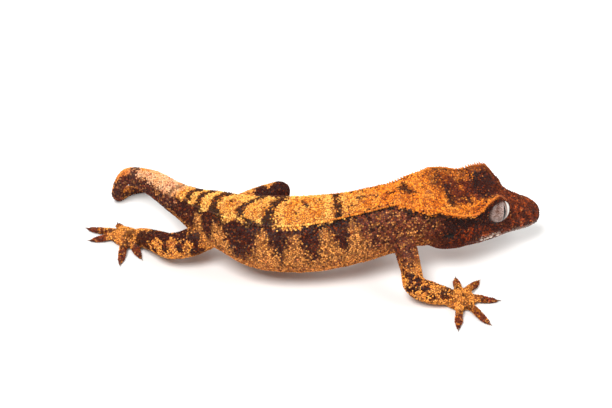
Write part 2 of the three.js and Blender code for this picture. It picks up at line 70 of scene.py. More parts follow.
ORIGIN = np.array([2.75, 7.1, 0.0])
MILLIMETRE = 0.001
UP = np.array([0.0, 0.0, 1.0])
BODY = "root"
COLOUR_LAYER = "marking"
BAKE_LAYER = "OFBake"
PATCH = 0.003
FINE_STEPS = 260
NEAREST_AT_ONCE = 20000


# Numbers and curves


def unit(vectors: Array) -> Array:
    """Vectors scaled to a length of one."""
    return vectors / np.maximum(np.linalg.norm(vectors, axis=-1, keepdims=True), 1e-9)


def ease(low: float | Array, high: float | Array, value: Array) -> Array:
    """A smooth ramp from 0 at low to 1 at high, either way round."""
    t = np.clip((value - low) / (high - low), 0.0, 1.0)
    return t * t * (3.0 - 2.0 * t)


def bell(value: Array, width: float | Array) -> Array:
    """A bell curve of one at zero, with the given half width."""
    return np.exp(-np.square(value / width))


def through(places: Array, values: Array, at: Array) -> Array:
    """Smooth interpolation of values through places that aren't evenly spaced.

    Args:
        places: The increasing places of the values.
        values: One value for each place.
        at: Where to read the curve.

    Returns:
        The value at each place asked for.
    """
    at = np.asarray(at, float)
    last = len(places) - 1
    i = np.clip(np.searchsorted(places, at, side="left") - 1, 0, last - 1)
    span = places[i + 1] - places[i]
    u = np.clip((at - places[i]) / span, 0.0, 1.0)

    def slope(k: Array) -> Array:
        a, b = np.maximum(k - 1, 0), np.minimum(k + 1, last)
        return (values[b] - values[a]) / (places[b] - places[a]) * span

    u2, u3 = u * u, u * u * u
    return ((2 * u3 - 3 * u2 + 1) * values[i] + (u3 - 2 * u2 + u) * slope(i)
            + (3 * u2 - 2 * u3) * values[i + 1] + (u3 - u2) * slope(i + 1))


def curve_points(points: Array, t: Array, closed: bool = False) -> Array:
    """Points of a centripetal Catmull-Rom curve.

    Args:
        points: The points that the curve runs through.
        t: Parameters from 0 to 1, even from point to point.
        closed: Whether the curve joins its end to its start.

    Returns:
        One point for each parameter.
    """
    count = len(points)
    spans = count if closed else count - 1
    place = np.clip(np.asarray(t, float), 0.0, 1.0) * spans
    first = np.minimum(np.floor(place).astype(int), spans - 1)
    w = (place - first)[:, None]
    if closed:
        p0, p1, p2, p3 = (points[(first + k) % count] for k in (-1, 0, 1, 2))
    else:
        padded = np.vstack([2 * points[0] - points[1], points, 2 * points[-1] - points[-2]])
        p0, p1, p2, p3 = (padded[first + k] for k in range(4))
    d0, d1, d2 = (np.maximum(np.linalg.norm(b - a, axis=1), 1e-6)[:, None] ** 0.5
                  for a, b in ((p0, p1), (p1, p2), (p2, p3)))
    t1 = ((p1 - p0) / d0 - (p2 - p0) / (d0 + d1) + (p2 - p1) / d1) * d1
    t2 = ((p2 - p1) / d1 - (p3 - p1) / (d1 + d2) + (p3 - p2) / d2) * d1
    return (p1 + t1 * w + (-3 * p1 + 3 * p2 - 2 * t1 - t2) * w ** 2
            + (2 * p1 - 2 * p2 + t1 + t2) * w ** 3)


def circle(count: int) -> Array:
    """Angles spread evenly round a circle, in radians from 0."""
    return np.arange(count) / count * 2 * np.pi


def sided(place: Triple, side: int) -> Array:
    """A place or direction given for the left side, on the side asked for: 1 left, -1 right."""
    return np.array(place) * np.array([1.0, side, 1.0])


def even_points(points: Array, count: int, closed: bool = False) -> Array:
    """Points spread evenly along a Catmull-Rom curve, the last one left off where it is closed."""
    t = np.linspace(0.0, 1.0, FINE_STEPS)
    fine = curve_points(points, t, closed)
    length = np.concatenate([[0.0], np.cumsum(np.linalg.norm(np.diff(fine, axis=0), axis=1))])
    wanted = np.linspace(0.0, length[-1], count, endpoint=not closed)
    return np.stack([np.interp(wanted, length, fine[:, k]) for k in range(3)], axis=1)


def nearest(points: Array, samples: Array) -> tuple[Array, Array]:
    """The nearest sample to each point, with its distance.

    Args:
        points: Places to look from.
        samples: Places to look for.

    Returns:
        The index of the nearest sample and the distance to it.
    """
    index = np.empty(len(points), int)
    distance = np.empty(len(points))
    squares = np.sum(samples ** 2, axis=1)
    for start in range(0, len(points), NEAREST_AT_ONCE):
        part = points[start:start + NEAREST_AT_ONCE]
        away = squares[None] - 2.0 * part @ samples.T
        best = np.argmin(away, axis=1)
        index[start:start + NEAREST_AT_ONCE] = best
        distance[start:start + NEAREST_AT_ONCE] = np.linalg.norm(part - samples[best], axis=1)
    return index, distance


def turned(axis: int, degrees: float) -> Array:
    """A rotation matrix about one axis, 0 for x, 1 for y and 2 for z."""
    c, s = np.cos(np.radians(degrees)), np.sin(np.radians(degrees))
    a, b = [(1, 2), (2, 0), (0, 1)][axis]
    matrix = np.eye(3)
    matrix[a, a] = matrix[b, b] = c
    matrix[a, b], matrix[b, a] = -s, s
    return matrix


class Mottle:
    """Smooth seeded noise made of sine waves, for markings and folds."""

    WAVES = 18

    def __init__(self, seed: int) -> None:
        """Draws the waves' directions and phases from the seed."""
        draw = np.random.default_rng(seed)
        self.direction = unit(draw.normal(size=(self.WAVES, 3)))
        self.pace = draw.uniform(0.6, 1.6, self.WAVES)
        self.phase = draw.uniform(0.0, 2 * np.pi, self.WAVES)

    def at(self, points: Array, size: float) -> Array:
        """Noise with blotches of about the given size, mostly from -1 to 1.

        Args:
            points: Places in millimetres.
            size: The width of one blotch in millimetres.

        Returns:
            One number for each point.
        """
        angle = (points @ self.direction.T) * (np.pi * self.pace / size) + self.phase
        bend = np.sin(np.roll(angle, 5, axis=1) * 0.61)
        return np.sin(angle + 1.3 * bend).sum(axis=1) / np.sqrt(self.WAVES / 2.0) / 1.6


# The animal's own form


@dataclass(frozen=True)
class Station:
    """One place on the spine: its middle, half width, height above and below, and crest angle."""

    name: str
    at: Triple
    half: float
    above: float
    below: float
    crest: float = 34.0


@dataclass
class Spine:
    """The line of the back from the shoulders to the tail's tip, with the trunk's surface round it."""

    stations: tuple[Station, ...] = (
        Station("shoulder", (25.5, 4.6, 16.0), 8.7, 8.5, 9.8, 31),
        Station("chest", (14.5, 1.9, 14.2), 9.5, 9.1, 9.7, 30),
        Station("belly", (1.5, 0.0, 13.2), 10.3, 9.6, 9.9, 36),
        Station("flank", (-10.5, 1.3, 12.9), 10.0, 9.2, 9.4, 40),
        Station("loin", (-18.0, 5.0, 12.6), 8.4, 7.9, 7.3, 38),
        Station("hip", (-24.5, 10.2, 11.9), 7.2, 6.5, 6.2, 38),
        Station("vent", (-30.5, 16.4, 10.9), 5.1, 4.7, 4.9),
        Station("tail_root", (-36.0, 22.2, 10.5), 4.2, 3.9, 4.1),
        Station("tail_rise", (-42.2, 27.4, 11.3), 3.5, 3.3, 3.4),
        Station("tail_top", (-48.6, 30.3, 11.1), 2.4, 2.4, 2.3),
        Station("tail_drop", (-51.8, 31.6, 6.4), 1.7, 1.7, 1.7),
        Station("tail_floor", (-52.2, 34.0, 1.7), 1.6, 1.5, 1.7),
        Station("tail_curl", (-48.5, 37.6, 1.35), 1.6, 1.5, 1.5),
        Station("tail_lie", (-41.5, 38.8, 1.25), 1.45, 1.3, 1.4),
        Station("tail_end", (-33.5, 38.0, 1.1), 1.35, 1.1, 1.25),
        Station("tail_tip", (-27.5, 36.6, 0.85), 0.8, 0.6, 0.95),
    )
    ridge: float = 0.35
    ridge_width: float = 9.0
    roundness: float = 0.94
    settle: float = 0.12
    steps: int = 600
    s_table: Array = field(init=False)
    length: float = field(init=False)
    places: Array = field(init=False)
    sizes: dict[str, Array] = field(init=False)
    middle: Array = field(init=False)
    forward: Array = field(init=False)
    left: Array = field(init=False)
    up: Array = field(init=False)

    def __post_init__(self) -> None:
        """Measures the curve and turns a frame along it without twist."""
        knots = np.array([s.at for s in self.stations])
        self.middle = curve_points(knots, np.linspace(0.0, 1.0, self.steps + 1))
        steps = np.linalg.norm(np.diff(self.middle, axis=0), axis=1)
        self.s_table = np.concatenate([[0.0], np.cumsum(steps)])
        self.length = float(self.s_table[-1])
        last = len(self.stations) - 1
        self.places = self.s_table[np.rint(np.arange(last + 1) / last * self.steps).astype(int)]
        self.sizes = {key: np.array([getattr(s, key) for s in self.stations], float)
                      for key in ("half", "above", "below", "crest")}
        tangent = unit(np.gradient(self.middle, axis=0))
        self.forward = -tangent
        lefts = [unit(np.cross(UP, self.forward[0]))]
        for ahead in self.forward[1:]:
            level = np.cross(UP, ahead)
            left = lefts[-1] + (level - lefts[-1]) * self.settle * np.linalg.norm(level)
            lefts.append(unit(left - ahead * (left @ ahead)))
        self.left = np.array(lefts)
        self.up = np.cross(self.forward, self.left)

    def place_of(self, name: str) -> float:
        """How far along the spine a station is, in millimetres."""
        return float(self.places[[s.name for s in self.stations].index(name)])

    def size(self, key: str, s: Array) -> Array:
        """One of the stations' sizes at places along the spine."""
        return through(self.places, self.sizes[key], s)

    def along(self, table: Array, s: Array) -> Array:
        """A table of vectors at the spine's steps, read at places along it."""
        return np.stack([np.interp(s, self.s_table, table[:, k]) for k in range(3)], axis=-1)

    def surface(self, s: Array, angle: Array, off: float | Array = 0.0) -> Array:
        """Points of the trunk or tail.

        Args:
            s: Places along the spine.
            angle: Angles in radians from the middle of the back, left positive.
            off: How far off the surface.

        Returns:
            One point for each place and angle.
        """
        middle = self.along(self.middle, s)
        left, up = unit(self.along(self.left, s)), unit(self.along(self.up, s))
        height = np.where(np.cos(angle) > 0, self.size("above", s), self.size("below", s))
        fade = 1.0 - ease(self.place_of("hip"), self.place_of("tail_rise"), s)
        near = (np.abs(angle) - np.radians(self.size("crest", s))) / np.radians(self.ridge_width)
        grow = off + self.ridge * fade * np.exp(-near * near)
        x, z = (np.sign(share) * np.abs(share) ** self.roundness
                for share in (np.sin(angle), np.cos(angle)))
        return (middle + left * (x * (self.size("half", s) + grow))[..., None]
                + up * (z * (height + grow))[..., None])


@dataclass(frozen=True)
class HeadSection:
    """One section of the head: its place from the nape, and the points of its half outline."""

    f: float
    top: float
    crest: float
    crest_up: float
    cheek: float
    cheek_up: float
    jaw: float
    throat: float


@dataclass
class Head:
    """The head in its own frame: forward from the nape, left of its middle, up from the mouth line."""

    origin: Triple = (33.2, 6.5, 11.6)
    yaw: float = 16.0
    pitch: float = -6.0
    roll: float = 8.0
    eye_at: Triple = (18.5, 4.6, 8.3)
    eye_axis: Triple = (0.25, 1.0, 0.25)
    eye_radius: float = 3.73
    lid_wall: float = 0.62
    lid_out: float = 1.9
    ear_at: Triple = (4.4, 9.9, 4.6)
    ear_size: Triple = (1.5, 1.6, 0.9)
    nostril_at: Triple = (31.9, 2.7, 3.0)
    nostril_radius: float = 0.55
    mouth_back: float = 9.0
    mouth_front: float = 34.1
    mouth_level: float = 0.5
    mouth_smile: float = 1.1
    mouth_bend: float = 2.4
    smile_length: float = 8.0
    sections: tuple[HeadSection, ...] = (
        HeadSection(0.2, 13.0, 8.2, 13.2, 8.4, 5.0, 5.7, -3.0),
        HeadSection(3.2, 12.9, 9.6, 12.8, 9.9, 4.8, 6.8, -3.9),
        HeadSection(7.6, 12.5, 9.9, 12.1, 10.2, 4.5, 7.0, -4.1),
        HeadSection(11.4, 12.2, 9.2, 11.9, 9.5, 4.4, 6.6, -3.7),
        HeadSection(14.4, 12.4, 7.9, 14.1, 8.7, 4.2, 6.3, -3.7),
        HeadSection(17.4, 12.3, 6.5, 15.2, 7.8, 4.0, 5.7, -3.4),
        HeadSection(20.5, 10.4, 5.2, 12.4, 7.0, 3.6, 5.0, -3.0),
        HeadSection(24.0, 8.0, 4.4, 8.3, 5.9, 3.1, 4.1, -2.4),
        HeadSection(27.8, 6.6, 3.7, 6.3, 4.9, 2.7, 3.5, -2.1),
        HeadSection(31.2, 5.4, 2.8, 5.1, 3.8, 2.2, 2.8, -1.6),
        HeadSection(33.6, 3.8, 1.6, 3.5, 2.3, 1.6, 1.6, -0.8),
        HeadSection(34.4, 2.3, 0.6, 2.1, 0.8, 1.4, 0.5, 0.4),
    )

    def __post_init__(self) -> None:
        """Works out the head's rotation and its tables."""
        self.turn = turned(2, self.yaw) @ turned(1, -self.pitch) @ turned(0, self.roll)
        self.places = np.array([s.f for s in self.sections])

    def size(self, key: str, f: Array | float) -> Array:
        """One of the sections' sizes at places along the head."""
        return through(self.places, np.array([getattr(s, key) for s in self.sections]), f)

    def to_world(self, points: Array) -> Array:
        """Points of the head's frame in the posing frame."""
        return np.asarray(points) @ self.turn.T + np.array(self.origin)

    def to_local(self, points: Array) -> Array:
        """Points of the posing frame in the head's frame."""
        return (points - np.array(self.origin)) @ self.turn

    def profile(self, f: float) -> Array:
        """Half of a section, from the middle of the top over the crest and cheek to the throat."""
        top, crest, crest_up, cheek, cheek_up, jaw, throat = (
            float(self.size(key, f)) for key in
            ("top", "crest", "crest_up", "cheek", "cheek_up", "jaw", "throat"))
        waist = min(crest, cheek) * 0.97
        return np.array([
            [0, top], [crest * 0.55, top + (crest_up - top) * 0.25], [crest * 0.9, crest_up - 0.15],
            [crest, crest_up - 0.5], [waist, crest_up * 0.55 + cheek_up * 0.45], [cheek, cheek_up],
            [cheek * 0.93, cheek_up * 0.3 + throat * 0.3], [jaw, throat * 0.72], [0, throat]])

    def ring(self, f: float, sides: int) -> Array:
        """A whole section as evenly spread points in the posing frame."""
        half = self.profile(f)
        other = half[-2:0:-1] * [-1.0, 1.0]
        flat = np.vstack([half, other])
        outline = np.column_stack([np.full(len(flat), f), flat])
        return self.to_world(even_points(outline, sides, closed=True))

    def half_at(self, f: float, up: float) -> float:
        """Half the head's width low on its side, at a height above the mouth line."""
        outline = self.profile(f)[3:]
        for (y0, z0), (y1, z1) in zip(outline, outline[1:]):
            if z1 <= up <= z0:
                return y0 + (y1 - y0) * (z0 - up) / (z0 - z1)
        return 0.5

    def mouth_line(self, steps: int = 120) -> Array:
        """The line between the lips, from the right corner round the snout, in the head's frame."""
        line = []
        for side in np.linspace(-1.0, 1.0, steps + 1):
            ahead = 1 - abs(side) ** self.mouth_bend
            f = self.mouth_back + (self.mouth_front - self.mouth_back) * ahead
            rise = max(0.0, 1 - (f - self.mouth_back) / self.smile_length)
            up = self.mouth_level + self.mouth_smile * rise ** 2
            half = self.half_at(f, up) * min(1.0, abs(side) * 5)
            line.append([f, np.sign(side) * half, up])
        return np.array(line)

    def eye(self, side: int) -> tuple[Array, Array]:
        """The middle and the axis of an eye in the head's frame, side 1 for the left one."""
        return sided(self.eye_at, side), unit(sided(self.eye_axis, side))

    def from_eye(self, local: Array, side: int) -> tuple[Array, Array]:
        """How far points are from an eye's middle, and how far out along its axis."""
        middle, axis = self.eye(side)
        away = local - middle
        return np.linalg.norm(away, axis=1), away @ axis

    def from_ear(self, local: Array, side: int) -> Array:
        """How far points are from an ear's middle, as a share of its size."""
        return np.linalg.norm((local - sided(self.ear_at, side)) / self.ear_size, axis=1)

    def from_nostril(self, local: Array, side: int) -> Array:
        """How far points are from a nostril's middle."""
        return np.linalg.norm(local - sided(self.nostril_at, side), axis=1)


class Foot(Enum):
    """The four limbs, by the foot at their end."""

    RIGHT_FORE = "right_fore"
    RIGHT_HIND = "right_hind"
    LEFT_FORE = "left_fore"
    LEFT_HIND = "left_hind"


@dataclass(frozen=True)
class Limb:
    """A limb: its joints with a radius at each, its sole, its palm and its toes."""

    foot: Foot
    joints: tuple[Joint, ...]
    sole: Pair
    palm: Triple
    heading: float
    toes: tuple[Pair, ...]

    def points(self, t: Array) -> Array:
        """Points of the limb's middle line."""
        return curve_points(np.array(self.joints)[:, :3], t)

    def radius(self, t: Array) -> Array:
        """The limb's radius along its middle line."""
        places = np.linspace(0.0, 1.0, len(self.joints))
        return through(places, np.array(self.joints)[:, 3], t)

    def toe_frame(self, index: int) -> tuple[Array, Array, float]:
        """A toe's direction, the direction across it, and its length."""
        angle, length = self.toes[index]
        along = np.array([np.cos(np.radians(angle)), np.sin(np.radians(angle)), 0.0])
        return along, np.array([-along[1], along[0], 0.0]), length

    def on_toe(self, index: int, t: Array | float, height: Array | float) -> Array:
        """A place along a toe at a height above the floor."""
        along, _, length = self.toe_frame(index)
        t, height = np.broadcast_arrays(np.asarray(t, float), np.asarray(height, float))
        return (np.array([*self.sole, 0.0]) + along * (t * length)[..., None]
                + UP * height[..., None])


LIMBS = (
    Limb(Foot.RIGHT_FORE,
         ((25.0, 2.0, 14.0, 3.5), (28.2, -3.6, 11.6, 3.2), (29.8, -9.0, 8.4, 2.9),
          (30.8, -12.4, 5.5, 3.0), (34.6, -13.7, 4.2, 3.05), (38.9, -13.7, 2.9, 2.55),
          (42.4, -13.3, 1.6, 1.7)),
         (43.0, -13.2), (4.4, 4.1, 1.8), -5.0,
         ((93, 10.4), (57, 10.8), (2, 10.6), (-52, 12.4), (-95, 12.0))),
    Limb(Foot.RIGHT_HIND,
         ((-21.0, 9.0, 11.2, 4.3), (-25.0, 5.4, 9.7, 4.2), (-30.0, 3.6, 7.8, 3.9),
          (-35.2, 4.2, 6.1, 3.6), (-39.8, 8.4, 4.6, 3.1), (-44.0, 12.2, 3.1, 2.6),
          (-47.8, 14.6, 1.7, 1.8)),
         (-48.8, 15.0), (4.7, 3.9, 1.8), 150.0,
         ((112, 7.8), (157, 12.4), (185, 10.2), (266, 12.0), (298, 10.4))),
    Limb(Foot.LEFT_FORE,
         ((22.5, 7.0, 14.0, 3.4), (19.8, 12.6, 11.8, 3.0), (15.8, 16.6, 9.9, 2.7),
          (12.0, 19.4, 7.6, 2.7), (13.2, 22.6, 5.2, 2.5), (15.2, 25.4, 2.9, 2.2),
          (16.6, 27.2, 1.6, 1.6)),
         (17.0, 27.8), (4.2, 3.9, 1.6), 50.0,
         ((-32, 7.4), (8, 8.4), (48, 9.0), (88, 9.4), (128, 8.2))),
    Limb(Foot.LEFT_HIND,
         ((-19.5, 10.5, 11.8, 4.0), (-15.0, 15.4, 12.0, 3.6), (-10.0, 19.2, 12.2, 3.1),
          (-5.6, 22.3, 11.8, 2.7), (-6.6, 25.0, 7.6, 2.7), (-8.6, 26.6, 3.7, 2.4),
          (-8.7, 27.6, 1.8, 1.8)),
         (-8.2, 28.0), (4.4, 3.8, 1.6), 40.0,
         ((-52, 7.4), (-12, 8.8), (24, 9.4), (60, 9.4), (128, 8.0))),
)

# A toe's shape: place along it, half width, height of its middle, half thickness.
TOE_SHAPE = np.array([
    (0.10, 1.40, 1.50, 1.40),
    (0.34, 1.20, 1.60, 1.15),
    (0.50, 1.12, 1.45, 1.00),
    (0.66, 1.24, 1.00, 0.85),
    (0.80, 1.06, 0.75, 0.75),
    (0.92, 0.68, 0.60, 0.58),
    (1.00, 0.34, 0.50, 0.34)])


class Part(IntEnum):
    """The parts that a place on the skin can belong to."""

    TRUNK = 0
    HEAD = 1
    RIGHT_FORE = 2
    RIGHT_HIND = 3
    LEFT_FORE = 4
    LEFT_HIND = 5


@dataclass
class Location:
    """Where points of the skin are on the animal, with one row for each point."""

    weight: Array  # how much it belongs to each part, adding up to one
    s: Array  # along the spine, negative on the neck
    angle: Array  # degrees from the middle of the back, left positive
    head: Array  # its place in the head's frame
    limb_t: Array  # along each limb, 0 at the trunk, 1 at the wrist and 2 at the toe tips
    limb_angle: Array  # degrees round each limb from its top


@dataclass
class Body:
    """The whole form: where every surface is, and where on it a point lies."""

    spine: Spine = field(default_factory=Spine)
    head: Head = field(default_factory=Head)
    limbs: tuple[Limb, ...] = LIMBS
    neck_pull: float = 8.0
    head_gap: float = 0.3
    neck_samples: int = 16
    end_reach: float = 5.0
    nape_reach: float = 2.0
    part_sharpness: float = 14.0

    def _bridge(self, u: float, head: Array, trunk: Array) -> Array:
        """Places between the head's and the trunk's, on curves that leave both along their axes."""
        start = -self.neck_pull * self.head.turn[:, 0]
        end = -self.neck_pull * self.spine.forward[0]
        return ((2 * u ** 3 - 3 * u ** 2 + 1) * head + (u ** 3 - 2 * u ** 2 + u) * start
                + (3 * u ** 2 - 2 * u ** 3) * trunk + (u ** 3 - u ** 2) * end)

    def neck_ring(self, u: float, sides: int) -> Array:
        """A ring of the neck, from the head's at 0 to the trunk's at 1."""
        angle = circle(sides)
        head = self.head.ring(self.head.sections[0].f - self.head_gap, sides)
        return self._bridge(u, head, self.spine.surface(np.zeros(sides), angle))

    def neck_crest(self, side: int, u: float) -> Array:
        """A place on the neck's crest, from the head's crest at 0 to the trunk's at 1."""
        first = self.head.sections[0]
        inward, down = 0.35, 0.65
        local = np.array([first.f, side * (first.crest - inward), first.crest_up - down])
        angle = np.radians(side * self.spine.size("crest", np.zeros(1)))
        return self._bridge(u, self.head.to_world(local), self.spine.surface(np.zeros(1), angle)[0])

    def axis_samples(self) -> dict[str, Array]:
        """The neck's and the spine's middle line with its frames and sizes, for looking places up."""
        shoulder = self.spine.middle[0]
        nape = self.head.to_world(np.array([0.0, 0.0, 5.0]))
        u = np.linspace(1.0, 0.0, self.neck_samples, endpoint=False)[:, None]
        reach = float(np.linalg.norm(nape - shoulder))
        every = slice(None, None, 2)
        s = self.spine.s_table[every]
        first = self.head.sections[0]
        middle = 0.5 * (first.top + first.throat)
        ends = {"half": first.cheek, "above": first.top - middle, "below": middle - first.throat}
        sizes = {key: np.concatenate([
            ends[key] * u[:, 0] + self.spine.size(key, np.zeros(1)) * (1 - u[:, 0]), self.spine.size(key, s)])
            for key in ("half", "above", "below")}
        tables = (("forward", self.spine.forward), ("left", self.spine.left), ("up", self.spine.up))
        frames = {key: np.vstack([unit(self.head.turn[:, k] * u + table[0] * (1 - u)), table[every]])
                  for k, (key, table) in enumerate(tables)}
        middles = np.vstack([nape * u + shoulder * (1 - u), self.spine.middle[every]])
        return {"s": np.concatenate([-reach * u[:, 0], s]), "middle": middles, **frames, **sizes}

    def locate(self, points: Array) -> Location:
        """Finds where on the animal points of the skin lie.

        Args:
            points: Places in the posing frame.

        Returns:
            Their place along the trunk, on the head and along each limb, and what they belong to.
        """
        axis = self.axis_samples()
        near, _ = nearest(points, axis["middle"])
        away = points - axis["middle"][near]
        x = np.sum(away * axis["left"][near], axis=1) / axis["half"][near]
        z = np.sum(away * axis["up"][near], axis=1)
        z = z / np.where(z > 0, axis["above"][near], axis["below"][near])
        ahead = np.sum(away * axis["forward"][near], axis=1)
        ratios = [np.sqrt(x ** 2 + z ** 2 + (ahead / self.end_reach) ** 2)]
        local = self.head.to_local(points)
        f = np.clip(local[:, 0], 0.3, 34.3)
        top, throat = self.head.size("top", f), self.head.size("throat", f)
        width = np.maximum(self.head.size("cheek", f), self.head.size("crest", f))
        height = (local[:, 2] - 0.5 * (top + throat)) / (0.5 * (top - throat))
        past = np.maximum(0.0, -local[:, 0]) / self.nape_reach
        around = np.hypot(local[:, 1] / width, height)
        ratios.append(np.minimum(1.0, around * 0.9) + past + 0.3 * np.maximum(0.0, around - 1.15))
        limb_t, limb_angle = [], []
        for limb in self.limbs:
            ratio, t, angle = self._on_limb(limb, points)
            ratios.append(ratio)
            limb_t.append(t)
            limb_angle.append(angle)
        ratio = np.stack(ratios, axis=1)
        weight = np.exp(-self.part_sharpness * (ratio - ratio.min(axis=1, keepdims=True)))
        weight /= weight.sum(axis=1, keepdims=True)
        return Location(weight, axis["s"][near], np.degrees(np.arctan2(x, z)), local,
                        np.stack(limb_t, axis=1), np.stack(limb_angle, axis=1))

    def _on_limb(self, limb: Limb, points: Array) -> tuple[Array, Array, Array]:
        """How near points are to a limb, how far along it, and the angle round it."""
        t = np.linspace(0.0, 1.0, 80)
        line = limb.points(t)
        near, distance = nearest(points, line)
        ratio = distance / limb.radius(t)[near]
        away = points - line[near]
        tangent = unit(np.gradient(line, axis=0))[near]
        left = unit(np.cross(UP, tangent))
        angle = np.degrees(np.arctan2(np.sum(away * left, axis=1),
                                      np.sum(away * np.cross(tangent, left), axis=1)))
        along = t[near]
        for index in range(len(limb.toes)):
            u = np.linspace(0.0, 1.0, 40)
            height = through(TOE_SHAPE[:, 0], TOE_SHAPE[:, 2], u)
            width = through(TOE_SHAPE[:, 0], TOE_SHAPE[:, 1], u)
            hit, gap = nearest(points, limb.on_toe(index, u, height))
            closer = gap / width[hit] < ratio
            ratio = np.where(closer, gap / width[hit], ratio)
            along = np.where(closer, 1.0 + u[hit], along)
        return ratio, along, angle


# Meshes


def loft(rings: Array) -> Shell:
    """A closed body through rings of points, with both ends capped.

    Args:
        rings: Rings by sides by three.

    Returns:
        The vertices and the faces.
    """
    count, sides = rings.shape[:2]
    vertices = np.vstack([rings.reshape(-1, 3), rings[0].mean(axis=0), rings[-1].mean(axis=0)])
    r, k = np.meshgrid(np.arange(count - 1), np.arange(sides), indexing="ij")
    a, b = (r * sides + k).ravel(), (r * sides + (k + 1) % sides).ravel()
    quads = np.column_stack([a, b, b + sides, a + sides]).tolist()
    ring = np.arange(sides)
    after = (ring + 1) % sides
    start, end = count * sides, count * sides + 1
    base = (count - 1) * sides
    first = np.column_stack([after, ring, np.full(sides, start)]).tolist()
    last = np.column_stack([base + ring, base + after, np.full(sides, end)]).tolist()
    return vertices, quads + first + last


def make_mesh(name: str, bodies: list[Shell]) -> Mesh:
    """One mesh of several bodies, each given as vertices and faces."""
    vertices, faces, start = [], [], 0
    for points, body_faces in bodies:
        vertices.append(points)
        faces.extend([[i + start for i in face] for face in body_faces])
        start += len(points)
    mesh = bpy.data.meshes.new(name)
    mesh.from_pydata(np.vstack(vertices).tolist(), [], faces)
    mesh.update()
    return mesh


def vertices_of(mesh: Mesh) -> Array:
    """A mesh's vertices as an array."""
    flat = np.empty(len(mesh.vertices) * 3, np.float32)
    mesh.vertices.foreach_get("co", flat)
    return flat.reshape(-1, 3).astype(float)


def normals_of(mesh: Mesh) -> Array:
    """A mesh's vertex normals as an array."""
    flat = np.empty(len(mesh.vertices) * 3, np.float32)
    mesh.vertex_normals.foreach_get("vector", flat)
    return flat.reshape(-1, 3).astype(float)


def set_vertices(mesh: Mesh, points: Array) -> None:
    """Moves a mesh's vertices."""
    mesh.vertices.foreach_set("co", points.astype(np.float32).ravel())
    mesh.update()


def set_colours(mesh: Mesh, colours: Array) -> None:
    """Stores a linear colour at each vertex of a mesh."""
    layer = mesh.color_attributes.new(COLOUR_LAYER, "FLOAT_COLOR", "POINT")
    full = np.column_stack([colours, np.ones(len(colours))]).astype(np.float32)
    layer.data.foreach_set("color", full.ravel())


def linked(name: str, mesh: Mesh) -> Object:
    """An object of a mesh in the scene."""
    made = bpy.data.objects.new(name, mesh)
    bpy.context.scene.collection.objects.link(made)
    return made


def evaluated_copy(thing: Object, name: str) -> Mesh:
    """What an object's modifiers make of it, as a mesh of its own."""
    graph = bpy.context.evaluated_depsgraph_get()
    mesh = bpy.data.meshes.new_from_object(thing.evaluated_get(graph))
    mesh.name = name
    return mesh


def finished(name: str, mesh: Mesh) -> Object:
    """Puts a mesh in the row frame and makes it a piece of the object.

    Args:
        name: The piece's name.
        mesh: Its mesh in millimetres, in the posing frame.

    Returns:
        The finished object.
    """
    points = vertices_of(mesh)
    points[:, 2] = np.maximum(points[:, 2], 0.0)
    set_vertices(mesh, (points - ORIGIN) * MILLIMETRE)
    mesh.polygons.foreach_set("use_smooth", np.ones(len(mesh.polygons), bool))
    piece = linked(name, mesh)
    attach(piece, BODY)
    triangles = sum(len(p.vertices) - 2 for p in mesh.polygons)
    log.info("%s: %d triangles", name, triangles)
    return piece


# Colours


def srgb(red: float, green: float, blue: float) -> Array:
    """A display colour of 0 to 255 as a linear one."""
    share = np.array([red, green, blue]) / 255.0
    return np.where(share <= 0.04045, share / 12.92, ((share + 0.055) / 1.055) ** 2.4)


def shade(red: int, green: int, blue: int) -> Array:
    """A dataclass field that holds a display colour as a linear one."""
    return field(default_factory=lambda: srgb(red, green, blue))


@dataclass(frozen=True)
class Palette:
    """The colours of the skin."""

    gold: Array = shade(230, 138, 34)
    orange: Array = shade(228, 122, 18)
    pale: Array = shade(248, 194, 100)
    rust: Array = shade(156, 68, 20)
    chocolate: Array = shade(42, 11, 5)
    maroon: Array = shade(60, 22, 13)
    blotch: Array = shade(222, 150, 74)
    mauve: Array = shade(124, 62, 42)
    belly: Array = shade(214, 138, 66)
    crown: Array = shade(106, 43, 18)
    snout: Array = shade(86, 36, 18)
    cheek: Array = shade(66, 28, 16)
    lip: Array = shade(240, 222, 206)
    limb: Array = shade(234, 154, 66)
    umber: Array = shade(58, 17, 7)
    toe: Array = shade(124, 54, 28)
    cream: Array = shade(240, 200, 156)
    plum: Array = shade(64, 32, 30)
    black: Array = shade(30, 8, 4)
    ember: Array = shade(200, 78, 18)
    streak: Array = shade(176, 78, 34)
    fleck: Array = shade(234, 160, 92)


def blend(base: Array, top: Array, share: Array) -> Array:
    """One colour laid over another by a share for each point."""
    return base + (top - base) * np.clip(share, 0.0, 1.0)[:, None]


@dataclass(frozen=True)
class Bar:
    """A dark bar across the back: its place along the spine at angles across it, and its half width."""

    angles: tuple[float, ...]
    places: tuple[float, ...]
    width: float


@dataclass(frozen=True)
class Spot:
    """A dark spot of the back: its place along the spine, its angle and its radius."""

    s: float
    angle: float
    radius: float


